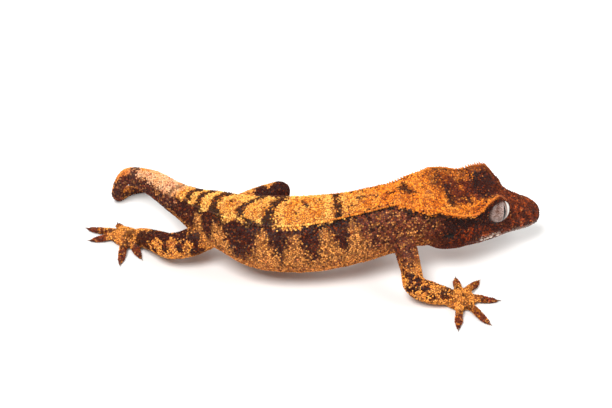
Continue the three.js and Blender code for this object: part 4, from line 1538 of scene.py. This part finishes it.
    def _carve(self, mesh: Mesh) -> None:
        """Cuts the mouth line, nostrils and ears, adds folds, and sinks the skin under its coat."""
        head = self.body.head
        points, normals = vertices_of(mesh), normals_of(mesh)
        local = head.to_local(points)
        _, gap = nearest(local, head.mouth_line(240))
        sink = 0.42 * bell(gap, 0.26) - 0.10 * bell(gap - 0.62, 0.3)
        for side in (-1, 1):
            away = head.from_nostril(local, side)
            sink += 0.75 * bell(away, head.nostril_radius) - 0.10 * bell(away - 0.85, 0.3)
            sink += 1.1 * bell(head.from_ear(local, side), 0.75)
        where = self.body.locate(points)
        folds = Mottle(21)
        trunk = where.weight[:, Part.TRUNK]
        across = np.sin(where.s * 2.2 + 1.5 * folds.at(points, 6.0))
        neck = bell(where.s + 1.5, 6.0) * ease(40.0, 65.0, np.abs(where.angle))
        sink += 0.10 * trunk * neck * across
        sink += 0.05 * folds.at(points, 1.6) * (1 - where.weight[:, Part.HEAD] * 0.5)
        sink += self.inset
        points = points - normals * sink[:, None]
        points = self._tuck_under_eyes(points)
        points[:, 2] = np.maximum(points[:, 2], 0.0)
        set_vertices(mesh, points)

    def _tuck_under_eyes(self, points: Array) -> Array:
        """Pulls the skin that the eyeballs cover well inside them, so that each lid meets its eye."""
        head, depth = self.body.head, 0.5
        local = head.to_local(points)
        for side in (-1, 1):
            middle, _ = head.eye(side)
            distance, out = head.from_eye(local, side)
            inside = (distance < head.eye_radius) & (out > 0)
            share = np.minimum(distance, head.eye_radius - depth) / np.maximum(distance, 1e-6)
            local = np.where(inside[:, None], middle + (local - middle) * share[:, None], local)
        return head.to_world(local)

    def _set_zones(self, mesh: Mesh) -> None:
        """Marks each face with the coat piece that covers it."""
        where, head = self.where, self.body.head
        points, normals = vertices_of(mesh), normals_of(mesh)
        part = np.argmax(where.weight, axis=1)
        trunk = np.digitize(where.s, self.trunk_zones) + Zone.NECK
        zone = np.where(part == Part.TRUNK, trunk, Zone.BARE)
        face = np.where(where.head[:, 0] > self.face_from, Zone.FACE, Zone.CROWN)
        zone = np.where(part == Part.HEAD, face, zone)
        for index in range(len(self.body.limbs)):
            zone = np.where(part == 2 + index, Zone.RIGHT_FORE + index, zone)
        bare = (points[:, 2] < 0.25) & (normals[:, 2] < -0.4)
        local = where.head
        _, gap = nearest(local, head.mouth_line(240))
        bare |= (gap < 0.22) & (part == Part.HEAD)
        for side in (-1, 1):
            distance, out = head.from_eye(local, side)
            bare |= (distance < head.eye_radius + 0.12) & (out > 0)
            bare |= (head.from_nostril(local, side) < 0.5) | (head.from_ear(local, side) < 0.85)
        zone = np.where(bare, Zone.BARE, zone)
        corner = np.empty(len(mesh.polygons), np.int32)
        mesh.polygons.foreach_get("loop_start", corner)
        first = np.empty(len(mesh.loops), np.int32)
        mesh.loops.foreach_get("vertex_index", first)
        layer = mesh.attributes.new("zone", "INT", "FACE")
        layer.data.foreach_set("value", zone[first[corner]].astype(np.int32))

    def paint(self, mesh: Mesh) -> None:
        """Paints the markings, with painted shade in the mouth line, the nostrils, the ear openings and the
        creases where the lids meet the eyes, and painted shade over the whole skin for the gaps between the
        scales.
        """
        points = vertices_of(mesh)
        colours = self.markings.colours(points, self.where)
        head, local, c = self.body.head, self.where.head, self.markings.palette
        _, gap = nearest(local, head.mouth_line(240))
        # Painted shade in the crease of the mouth line.
        colours = blend(colours, c.black, bell(gap, 0.24) * 0.8)
        for side in (-1, 1):
            # Painted shade in the nostril and ear pits.
            colours = blend(colours, c.black, bell(head.from_nostril(local, side), head.nostril_radius))
            colours = blend(colours, c.black, bell(head.from_ear(local, side), 0.8))
            distance, out = head.from_eye(local, side)
            # Painted shade in the crease where the lid meets the eye.
            edge = ease(0.55, 0.05, distance - head.eye_radius) * (out > 0)
            colours = blend(colours, c.black, edge * 0.9)
        # The skin shows only in the gaps between the scales, so its colours are darkened here as painted
        # shade.
        set_colours(mesh, colours * self.between)


# The coat


def granule_mesh() -> Mesh:
    """One small domed scale of unit width, closed below, with its root at the origin."""
    sides, top, a = 6, 0.46, circle(6)
    rings = [np.column_stack([np.cos(a) * radius, np.sin(a) * radius, np.full(sides, height)])
             for radius, height in ((0.58, -0.25), (0.52, 0.16), (0.27, 0.40))]
    points = np.vstack([*rings, [[0.0, 0.0, top]]])
    steps = [(k, (k + 1) % sides) for k in range(sides)]
    faces = [list(range(sides))[::-1]]
    for base in (0, sides):
        faces += [[base + k, base + after, base + sides + after, base + sides + k] for k, after in steps]
    faces += [[2 * sides + k, 2 * sides + after, 3 * sides] for k, after in steps]
    return make_mesh("granule", [(points, faces)])


# A crest spine's rings: height, radius and lean.
SPINE_SIDES = 7
SPINE_RINGS = ((-0.28, 0.50, 0.0), (0.05, 0.52, 0.0), (0.40, 0.36, 0.05), (0.75, 0.17, 0.14))


def spine_mesh() -> Mesh:
    """One crest spine of unit length and width: a bulging cone that bends a little to its own back."""
    a = circle(SPINE_SIDES)
    rings = [np.column_stack([np.cos(a) * radius + lean, np.sin(a) * radius, np.full(SPINE_SIDES, height)])
             for height, radius, lean in SPINE_RINGS]
    vertices, faces = loft(np.array(rings))
    vertices[-1] = [0.24, 0.0, 1.0]
    return make_mesh("crest_spine", [(vertices, faces)])


class GeometryTree(Tree):
    """A Geometry Nodes group with named inputs."""

    def __init__(self, name: str, inputs: dict[str, tuple[str, object]]) -> None:
        """Makes the group.

        Args:
            name: The group's name.
            inputs: Each named input's socket type and its value at first.
        """
        group = bpy.data.node_groups.new(name, "GeometryNodeTree")
        super().__init__(group)
        group.interface.new_socket("Geometry", in_out="INPUT", socket_type="NodeSocketGeometry")
        self.identifiers = {}
        for key, (kind, value) in inputs.items():
            socket = group.interface.new_socket(key, in_out="INPUT", socket_type=kind)
            self.identifiers[key] = socket.identifier
            if value is not None:
                socket.default_value = value
        group.interface.new_socket("Geometry", in_out="OUTPUT", socket_type="NodeSocketGeometry")
        self.source = self.node("NodeGroupInput")
        self.group = group

    def given(self, name: str) -> Socket:
        """The socket of one of the group's inputs."""
        return self.source.outputs[name]

    def named(self, name: str, kind: str) -> Socket:
        """An attribute of the geometry, by its name and kind."""
        return self.node("GeometryNodeInputNamedAttribute", {"data_type": kind}, Name=name).outputs[0]

    def stored(self, geometry: object, name: str, value: object, domain: str) -> Socket:
        """The geometry with a vector kept under a name."""
        node = self.node("GeometryNodeStoreNamedAttribute", {"data_type": "FLOAT_VECTOR", "domain": domain},
                         Geometry=geometry, Name=name, Value=value)
        return node.outputs[0]

    def end(self, instances: object, material: object) -> None:
        """Realizes the instances, gives them their material and ends the group."""
        real = self.node("GeometryNodeRealizeInstances", None, Geometry=instances)
        dressed = self.node("GeometryNodeSetMaterial", None, Geometry=real.outputs[0], Material=material)
        self.node("NodeGroupOutput", None, Geometry=dressed.outputs[0])

    def applied(self, thing: Object, values: dict[str, object], name: str) -> Mesh:
        """What the group makes of an object with the given inputs, as a mesh of its own."""
        modifier = thing.modifiers.new(name, "NODES")
        modifier.node_group = self.group
        for key, value in values.items():
            modifier[self.identifiers[key]] = value
        mesh = evaluated_copy(thing, name)
        thing.modifiers.remove(modifier)
        return mesh


def granule_tree() -> GeometryTree:
    """Spreads scales over one zone of the skin, each standing along the normal and turned at random."""
    t = GeometryTree("granules", {
        "Zone": ("NodeSocketInt", 0), "Spacing": ("NodeSocketFloat", 0.42), "Width": ("NodeSocketFloat", 0.5),
        "Seed": ("NodeSocketInt", 1), "Scale form": ("NodeSocketObject", None),
        "Material": ("NodeSocketMaterial", None)})
    inside = t.node("FunctionNodeCompare", {"data_type": "INT", "operation": "EQUAL"},
                    in_2=t.named("zone", "INT"), in_3=t.given("Zone"))
    spread = t.node("GeometryNodeDistributePointsOnFaces", {"distribute_method": "POISSON"},
                    Mesh=t.given("Geometry"), Selection=inside.outputs[0], Distance_Min=t.given("Spacing"),
                    Density_Max=60.0, Seed=t.given("Seed"))
    place = t.node("GeometryNodeInputPosition")
    rooted = t.stored(spread.outputs["Points"], "root", place.outputs[0], "POINT")
    form = t.node("GeometryNodeObjectInfo", None, Object=t.given("Scale form"))
    spin = t.node("FunctionNodeRandomValue", {"data_type": "FLOAT"}, Max=6.283, Seed=t.given("Seed"))
    euler = t.node("ShaderNodeCombineXYZ", None, Z=spin.outputs[1])
    turn = t.node("FunctionNodeEulerToRotation", None, in_0=euler.outputs[0])
    rotation = t.node("FunctionNodeRotateRotation", {"rotation_space": "LOCAL"},
                      in_0=spread.outputs["Rotation"], in_1=turn.outputs[0])
    size = t.node("FunctionNodeRandomValue", {"data_type": "FLOAT"}, Min=0.82, Max=1.16, Seed=7)
    width = Value(t, size.outputs[1]) * t.given("Width")
    instances = t.node("GeometryNodeInstanceOnPoints", None, Points=rooted, Instance=form.outputs["Geometry"],
                       Rotation=rotation.outputs[0], Scale=width)
    t.end(instances.outputs[0], t.given("Material"))
    return t


def placed_tree() -> GeometryTree:
    """Sets a form on each point of a mesh, along its own direction and at its own size."""
    t = GeometryTree("placed_forms", {
        "Form": ("NodeSocketObject", None), "Material": ("NodeSocketMaterial", None)})
    points = t.node("GeometryNodeMeshToPoints", None, Mesh=t.given("Geometry"))
    form = t.node("GeometryNodeObjectInfo", None, Object=t.given("Form"))
    upright = t.node("FunctionNodeAlignRotationToVector", {"axis": "Z"},
                     Vector=t.named("direction", "FLOAT_VECTOR"))
    swept = t.node("FunctionNodeAlignRotationToVector", {"axis": "X", "pivot_axis": "Z"},
                   Rotation=upright.outputs[0], Vector=t.named("lie", "FLOAT_VECTOR"))
    instances = t.node("GeometryNodeInstanceOnPoints", None, Points=points.outputs[0],
                       Instance=form.outputs["Geometry"], Rotation=swept.outputs[0],
                       Scale=t.named("size", "FLOAT_VECTOR"))
    t.end(instances.outputs[0], t.given("Material"))
    return t


def bake_map(mesh: Mesh, roots: Array, per_form: int, body: Body) -> None:
    """Gives each small form a patch of the bake map at its root's place on the unwrapped skin.

    Args:
        mesh: A mesh of many like forms, with its vertices form by form.
        roots: The root of each form in the posing frame.
        per_form: Vertices in one form.
        body: The whole form, which gives the unwrap.
    """
    where = body.locate(roots)
    part = np.argmax(where.weight, axis=1)
    turn = where.angle / 360.0 + 0.5
    along = (where.s + 12.0) / (body.spine.length + 14.0)
    head_turn = np.degrees(np.arctan2(where.head[:, 1], where.head[:, 2] - 4.5)) / 360.0 + 0.5
    turn = np.where(part == Part.HEAD, head_turn, turn)
    along = np.where(part == Part.HEAD, np.clip(where.head[:, 0] / 36.0, 0, 1), along)
    for index in range(len(body.limbs)):
        mine = part == 2 + index
        turn = np.where(mine, where.limb_angle[:, index] / 360.0 + 0.5, turn)
        along = np.where(mine, where.limb_t[:, index] / 2.0, along)
        flat = mine & (where.limb_t[:, index] > 1.0)
        sole = np.array(body.limbs[index].sole)
        turn = np.where(flat, 0.5 + (roots[:, 0] - sole[0]) / 30.0, turn)
        along = np.where(flat, 0.75 + (roots[:, 1] - sole[1]) / 60.0, along)
    home = 0.02 + 0.96 * np.column_stack([turn % 1.0, np.clip(along, 0, 1)])
    points = vertices_of(mesh).reshape(len(roots), per_form, 3)
    away = points - roots[:, None]
    normal = unit(away.mean(axis=1))
    side = unit(np.cross(normal, UP) + 1e-4)
    other = np.cross(normal, side)
    flat_place = np.stack([np.sum(away * one[:, None], axis=2) for one in (side, other)], axis=2)
    reach = np.maximum(np.abs(flat_place).max(axis=(1, 2)), 1e-6)
    spot = home[:, None] + flat_place / reach[:, None, None] * PATCH / 2
    corner = np.empty(len(mesh.loops), np.int32)
    mesh.loops.foreach_get("vertex_index", corner)
    layer = mesh.uv_layers.new(name=BAKE_LAYER)
    layer.data.foreach_set("uv", spot.reshape(-1, 2)[corner].astype(np.float32).ravel())


@dataclass(frozen=True)
class Patch:
    """One piece of the coat: its zone, its scales' spacing and its material slot."""

    zone: Zone
    spacing: float
    slot: str


@dataclass
class GranuleCoat:
    """The granular scales over the whole skin, in pieces."""

    body: Body
    markings: Markings
    patches: tuple[Patch, ...] = (
        Patch(Zone.FACE, 0.40, "head_skin"), Patch(Zone.CROWN, 0.43, "head_skin"),
        Patch(Zone.NECK, 0.46, "body_skin"), Patch(Zone.CHEST, 0.47, "body_skin"),
        Patch(Zone.BELLY, 0.47, "body_skin"), Patch(Zone.HIPS, 0.46, "body_skin"),
        Patch(Zone.TAIL, 0.43, "tail_skin"), Patch(Zone.RIGHT_FORE, 0.42, "limb_skin"),
        Patch(Zone.RIGHT_HIND, 0.43, "limb_skin"), Patch(Zone.LEFT_FORE, 0.43, "limb_skin"),
        Patch(Zone.LEFT_HIND, 0.43, "limb_skin"))
    finish: ScaleFinish = ScaleFinish("scales", 0.62, 0.1)
    first_seed: int = 100
    overlap: float = 1.08
    wander: float = 0.34
    variation: float = 0.36
    tint: Triple = (0.9, 1.3, 1.5)

    def build(self, skin: Mesh) -> None:
        """Spreads and paints the scales of each patch."""
        carrier = linked("coat_carrier", skin.copy())
        form = linked("granule_form", granule_mesh())
        per_form = len(form.data.vertices)
        tree, material = granule_tree(), self.finish.material()
        for patch in self.patches:
            name = "scales_" + patch.zone.name.lower()
            seed = self.first_seed + int(patch.zone)
            values = {"Zone": int(patch.zone), "Spacing": patch.spacing, "Seed": seed,
                      "Width": patch.spacing * self.overlap, "Scale form": form, "Material": material}
            mesh = tree.applied(carrier, values, name)
            roots = self._roots(mesh, per_form)
            self._paint(mesh, roots, per_form, seed)
            bake_map(mesh, roots, per_form, self.body)
            mesh.attributes.remove(mesh.attributes["root"])
            finished(name, mesh)
        bpy.data.objects.remove(carrier)
        bpy.data.objects.remove(form)

    @staticmethod
    def _roots(mesh: Mesh, per_form: int) -> Array:
        """Where each scale is rooted."""
        flat = np.empty(len(mesh.vertices) * 3, np.float32)
        mesh.attributes["root"].data.foreach_get("vector", flat)
        return flat.reshape(-1, per_form, 3)[:, 0].astype(float)

    def _paint(self, mesh: Mesh, roots: Array, per_form: int, seed: int) -> None:
        """Paints each scale by the markings a little way off, which makes the borders ragged."""
        draw = np.random.default_rng(seed)
        looked = roots + draw.normal(0.0, self.wander, roots.shape)
        where = self.body.locate(looked)
        colours = self.markings.colours(looked, where)
        trunk = where.weight[:, Part.TRUNK] > 0.5
        smooth = trunk * ease(64.0, 67.0, where.s) * ease(70.0, 50.0, np.abs(where.angle))
        bright = draw.normal(-0.02, self.variation, (len(roots), 1)) * (1.0 - 0.65 * smooth[:, None])
        colours = colours * np.exp(np.where(bright < 0, bright * self.tint, bright))
        side = np.where(trunk, ease(35, 60, np.abs(where.angle)), 0.5) * (1.0 - smooth)
        lit = ease(0.012, 0.06, colours.mean(axis=1))
        pale, dark = draw.random(len(roots)), draw.random(len(roots))
        c = self.markings.palette
        share = (0.04 + 0.16 * side) * (1.0 - 0.8 * where.weight[:, Part.HEAD])
        colours = blend(colours, c.fleck, (pale < share) * (0.06 + 0.36 * lit))
        colours = blend(colours, c.rust, (draw.random(len(roots)) < 0.10) * 0.45)
        colours = blend(colours, c.chocolate, (dark < 0.04 + 0.12 * side) * 0.7)
        colours = colours / np.maximum(colours.max(axis=1, keepdims=True), 1.0)
        set_colours(mesh, np.repeat(colours, per_form, axis=0))


@dataclass
class Placed:
    """Forms set one by one: where, along what, how they lie and how large they are."""

    place: list[Array] = field(default_factory=list)
    direction: list[Array] = field(default_factory=list)
    lie: list[Array] = field(default_factory=list)
    size: list[Triple] = field(default_factory=list)

    def add(self, place: Array, direction: Array, lie: Array, size: Triple) -> None:
        """Adds one form."""
        self.place.append(place)
        self.direction.append(direction)
        self.lie.append(lie)
        self.size.append(size)

    def mesh(self, name: str, form_mesh: Mesh, material: Material) -> Mesh:
        """All the forms as one mesh, made by the node group."""
        carrier_mesh = bpy.data.meshes.new(name + "_points")
        carrier_mesh.from_pydata([tuple(p) for p in self.place], [], [])
        for key, rows in (("direction", self.direction), ("lie", self.lie), ("size", self.size)):
            layer = carrier_mesh.attributes.new(key, "FLOAT_VECTOR", "POINT")
            layer.data.foreach_set("vector", np.array(rows, np.float32).ravel())
        carrier = linked(name + "_points", carrier_mesh)
        form = linked(name + "_form", form_mesh)
        mesh = placed_tree().applied(carrier, {"Form": form, "Material": material}, name)
        bpy.data.objects.remove(carrier)
        bpy.data.objects.remove(form)
        for key in ("direction", "lie", "size"):
            if key in mesh.attributes:
                mesh.attributes.remove(mesh.attributes[key])
        return mesh


@dataclass
class Crest:
    """The spines along both edges of the back, over the neck and round the head to the brows."""

    body: Body
    markings: Markings
    trunk_step: float = 0.62
    neck_step: float = 0.075
    head_step: float = 0.52
    head_end: float = 22.5
    width: float = 0.62
    head_length: float = 0.62
    brow_length: float = 0.45
    brow_at: float = 17.0
    neck_length: float = 0.42
    back_s: tuple[float, ...] = (0, 20, 46, 62)
    back_lengths: tuple[float, ...] = (0.48, 0.46, 0.40, 0.30)
    finish: ScaleFinish = ScaleFinish("crest_scales", 0.55, 0.25)

    def build(self) -> None:
        """Makes the head's and the trunk's rows."""
        draw = np.random.default_rng(31)
        for name, slot, rows in (("crest_head", "head_skin", self._head_rows(draw)),
                                 ("crest_back", "body_skin", self._back_rows(draw))):
            form = spine_mesh()
            per_form = len(form.vertices)
            mesh = rows.mesh(name, form, self.finish.material())
            roots = np.array(rows.place)
            self._paint(mesh, roots, per_form)
            bake_map(mesh, roots, per_form, self.body)
            finished(name, mesh)

    def _head_rows(self, draw: np.random.Generator) -> Placed:
        """Spines from the nape over the temple to the brow, the brow's the longest."""
        head, rows = self.body.head, Placed()
        for side in (-1, 1):
            for row, drop in enumerate((0.0, 0.55)):
                for start in np.arange(0.3 + 0.26 * row, self.head_end, self.head_step):
                    f = float(start + draw.normal(0, 0.05))
                    brow = float(np.exp(-((f - self.brow_at) / 3.5) ** 2))
                    local = np.array([f, side * (head.size("crest", f) - 0.25 - 0.1 * row),
                                      head.size("crest_up", f) - 0.55 - drop])
                    along = unit(np.array([-0.35 + 0.2 * brow, side * 1.0, 0.55 - 0.45 * row]))
                    length = self.head_length + self.brow_length * brow
                    length *= draw.uniform(0.7, 1.2) * (1 - 0.5 * row)
                    width = self.width * draw.uniform(0.85, 1.1) * (1 - 0.2 * row)
                    rows.add(head.to_world(local), head.turn @ along, head.turn @ np.array([-1.0, 0, 0]),
                             (width, width, length))
        return rows

    def _back_rows(self, draw: np.random.Generator) -> Placed:
        """Spines along the neck and the back, shorter towards the hips."""
        spine, rows = self.body.spine, Placed()
        for side in (-1, 1):
            for u in np.arange(0.03, 0.98, self.neck_step):
                place = self.body.neck_crest(side, float(u))
                out = self.body.head.turn @ unit(np.array([-0.45, side * 0.75, 0.8]))
                size = self.width * draw.uniform(0.85, 1.1)
                length = self.neck_length * draw.uniform(0.7, 1.3)
                rows.add(place, out, -spine.forward[0], (size, size, length))
            for start in np.arange(0.2, spine.place_of("vent"), self.trunk_step):
                s = np.array([float(start + draw.normal(0, 0.06))])
                angle = side * np.radians(spine.size("crest", s))
                place = spine.surface(s, angle, -0.08)[0]
                out = unit(spine.surface(s, angle, 1.0)[0] - place)
                forward = unit(spine.along(spine.forward, s)[0])
                length = np.interp(s[0], self.back_s, self.back_lengths) * draw.uniform(0.7, 1.3)
                size = self.width * draw.uniform(0.85, 1.15)
                rows.add(place, unit(out - 0.45 * forward), -forward, (size, size, length))
        return rows

    def _paint(self, mesh: Mesh, roots: Array, per_form: int) -> None:
        """Paints pale to orange spines with redder tips, by the markings at their roots."""
        where = self.body.locate(roots)
        c = self.markings.palette
        draw = np.random.default_rng(32)
        base = self.markings.colours(roots, where) * np.exp(draw.normal(0.0, 0.25, (len(roots), 1)))
        rear = ease(16.0, 26.0, where.s) * (where.weight[:, Part.TRUNK] > 0.5)
        brow = ease(14.0, 18.0, where.head[:, 0]) * (where.weight[:, Part.HEAD] > 0.5)
        share = (0.35 + 0.4 * draw.random(len(roots))) * (1 - rear) * (1 - 0.8 * brow)
        base = blend(base, c.gold, share)
        tip = blend(c.ember, c.gold, draw.random(len(roots)) * 0.6)
        tip = blend(tip, c.rust, brow * 0.6)
        tip = blend(tip, base, rear * 0.9)
        shares = np.concatenate([np.repeat([0.0, 0.1, 0.45, 0.8], SPINE_SIDES), [0.0, 1.0]])
        height = np.tile(shares, len(roots))
        low, high = (np.repeat(colour, per_form, axis=0) for colour in (base, tip))
        colours = blend(low, high, height * 0.8)
        set_colours(mesh, colours)


@dataclass
class Lips:
    """The larger flat scales along both lips."""

    body: Body
    markings: Markings
    finish: ScaleFinish = ScaleFinish("lip_scales", 0.45)
    # Each lip: height off the mouth line, number of scales, their height, and how far they are sunk.
    lips: tuple[tuple[float, int, float, float], ...] = (
        (0.52, 58, 0.62, 0.16), (-0.50, 54, 0.58, 0.22))
    long: float = 0.96
    proud: float = 0.62

    def build(self) -> None:
        """Sets one row on each lip."""
        head, rows = self.body.head, Placed()
        for above, count, tall, sunk in self.lips:
            line = even_points(head.mouth_line(), count)
            ahead = unit(np.gradient(line, axis=0))
            for place, along in zip(line[1:-1], ahead[1:-1]):
                out = unit(np.cross(along, UP))
                if out @ np.array([place[0] - 15.0, place[1], 0.0]) < 0:
                    out = -out
                local = place + UP * above - out * sunk
                tilted = unit(out + UP * 0.12 * np.sign(above))
                rows.add(head.to_world(local), head.turn @ tilted, head.turn @ along,
                         (self.long, tall, self.proud))
        form = granule_mesh()
        per_form = len(form.vertices)
        mesh = rows.mesh("lip_scales", form, self.finish.material())
        roots = np.array(rows.place)
        draw = np.random.default_rng(41)
        colours = self.markings.colours(roots, self.body.locate(roots))
        colours = colours * draw.normal(1.0, 0.1, (len(roots), 1))
        set_colours(mesh, np.clip(np.repeat(colours, per_form, axis=0), 0, 1))
        bake_map(mesh, roots, per_form, self.body)
        finished("lip_scales", mesh)


# Eyes and claws


@dataclass
class Eyes:
    """The two lidless eyeballs."""

    body: Body
    finish: EyeFinish = EyeFinish()
    rings: int = 47
    sides: int = 96

    def build(self) -> None:
        """Makes a ball for each eye, with a map that looks down its axis."""
        head = self.body.head
        material = self.finish.material()
        for side, name in ((1, "left_eye"), (-1, "right_eye")):
            middle, axis = head.eye(side)
            front = unit(np.array([1.0, 0.0, 0.0]) - axis * axis[0])
            up = np.cross(axis, front) * side
            up = up if up[2] > 0 else -up
            latitude = np.linspace(-np.pi / 2, np.pi / 2, self.rings + 2)[1:-1]
            longitude = circle(self.sides)
            ring = (np.cos(longitude)[:, None] * front
                    + np.sin(longitude)[:, None] * np.cross(axis, front))
            ball = np.cos(latitude)[:, None, None] * ring[None] + np.sin(latitude)[:, None, None] * axis
            vertices, faces = loft(ball)
            vertices[-2:] = [-axis, axis]
            local = middle + vertices * head.eye_radius
            mesh = make_mesh("ball_" + name, [(head.to_world(local), faces)])
            layer = mesh.uv_layers.new(name="iris")
            corner = np.empty(len(mesh.loops), np.int32)
            mesh.loops.foreach_get("vertex_index", corner)
            flat = 0.5 + 0.5 * np.column_stack([vertices @ front, vertices @ up])
            layer.data.foreach_set("uv", flat[corner].astype(np.float32).ravel())
            mesh.materials.append(material)
            piece = finished("ball_" + name, mesh)
            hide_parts(name)


@dataclass
class Claws:
    """The small hooked claws at the tips of the toes."""

    body: Body
    length: float = 1.05
    radius: float = 0.24
    droop: float = 0.3
    sunk: float = 0.55
    height: float = 0.62
    rings: int = 9
    sides: int = 10
    finish: HornFinish = HornFinish()

    def build(self) -> None:
        """Makes the five claws of each foot as one piece."""
        material = self.finish.material()
        for limb in self.body.limbs:
            bodies = [self._claw(limb, index) for index in range(len(limb.toes))]
            name = "claws_" + limb.foot.value
            mesh = make_mesh(name, bodies)
            mesh.materials.append(material)
            finished(name, mesh)

    def _claw(self, limb: Limb, index: int) -> Shell:
        """One claw, curving down from the tip of its toe."""
        along, across, reach = limb.toe_frame(index)
        root = limb.on_toe(index, (reach - self.sunk) / reach, self.height)
        t = np.linspace(0.0, 1.0, self.rings)
        line = root + along * (t * (self.length + 0.3))[:, None]
        line = line + UP * (0.10 * t - self.droop * t ** 2)[:, None]
        radius = self.radius * (1.0 - 0.86 * t ** 1.3)
        tangent = unit(np.gradient(line, axis=0))
        over = np.cross(tangent, across)
        a = circle(self.sides)
        ring = across * (0.75 * np.cos(a))[None, :, None] + over[:, None] * np.sin(a)[None, :, None]
        return loft(line[:, None] + ring * radius[:, None, None])


# The studio


@dataclass
class Studio:
    """The camera at the photograph's angle, a pale floor and soft light. Lengths in metres."""

    aim: Triple = (-0.00115, -0.0071, 0.0234)
    eye: Triple = (-0.00115, -0.4682, 0.3584)
    lens: float = 125.06
    sensor: float = 36.0
    # Each light: place, width, power.
    lights: tuple[tuple[Triple, float, float], ...] = (
        ((-0.15, -0.30, 0.55), 0.30, 4.7),
        ((0.45, -0.10, 0.35), 0.30, 1.3),
        ((-0.10, 0.45, 0.40), 0.40, 1.9))
    lit_at: Triple = (0.0, 0.0, 0.01)
    clip: Pair = (0.01, 20.0)
    sky: tuple[float, float, float, float] = (1.0, 0.99, 0.97, 1.0)
    sky_strength: float = 0.34
    floor_reach: float = 3.0

    def build(self) -> None:
        """Makes the camera, the lights, the sky and the floor."""
        scene = bpy.context.scene
        scene.view_settings.view_transform = "Standard"
        camera = bpy.data.cameras.new("camera")
        camera.lens, camera.sensor_width, camera.sensor_fit = self.lens, self.sensor, "HORIZONTAL"
        camera.clip_start, camera.clip_end = self.clip
        shot = bpy.data.objects.new("camera", camera)
        scene.collection.objects.link(shot)
        shot.location = self.eye
        shot.rotation_euler = self._facing(self.eye, self.aim)
        scene.camera = shot
        for index, (place, width, power) in enumerate(self.lights):
            lamp = bpy.data.lights.new(f"soft_{index}", "AREA")
            lamp.shape, lamp.size, lamp.energy = "SQUARE", width, power
            light = bpy.data.objects.new(f"soft_{index}", lamp)
            scene.collection.objects.link(light)
            light.location = place
            light.rotation_euler = self._facing(place, self.lit_at)
        sky = bpy.data.worlds.new("sky")
        sky.use_nodes = True
        background = sky.node_tree.nodes["Background"]
        background.inputs[0].default_value = self.sky
        background.inputs[1].default_value = self.sky_strength
        scene.world = sky
        far = self.floor_reach
        mesh = bpy.data.meshes.new("floor")
        corners = [(-far, -far, 0), (far, -far, 0), (far, far, 0), (-far, far, 0)]
        mesh.from_pydata(corners, [], [[0, 1, 2, 3]])
        floor = linked("floor", mesh)
        mesh.materials.append(FloorFinish().material())

    @staticmethod
    def _facing(place: Triple, target: Triple) -> object:
        """The turn of something at a place that looks at a target."""
        return (Vector(target) - Vector(place)).to_track_quat("-Z", "Y").to_euler()


def build_gecko(frame: dict) -> None:
    """Makes the skin, its coat, the crests, lips, eyes and claws."""
    body = Body()
    markings = Markings(body)
    skin = Skin(body, markings)
    mesh = skin.build()
    GranuleCoat(body, markings).build(mesh)
    skin.paint(mesh)
    # 0.72 darkens the skin in patches as painted shade between the scales.
    mesh.materials.append(SkinFinish("skin", 0.62, 0.72).material())
    mesh.attributes.remove(mesh.attributes["zone"])
    piece = finished("skin", mesh)
    eyes = ("left_eye", "right_eye")
    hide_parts(*[name for name in frame["nodes"] if name not in eyes])
    Crest(body, markings).build()
    Lips(body, markings).build()
    Eyes(body).build()
    Claws(body).build()


def main() -> None:
    """Loads the solids and builds the studio and every piece in order."""
    logging.basicConfig(level=logging.INFO, format="%(message)s")
    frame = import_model()
    Studio().build()
    build_gecko(frame)


if __name__ == "__main__":
    main()
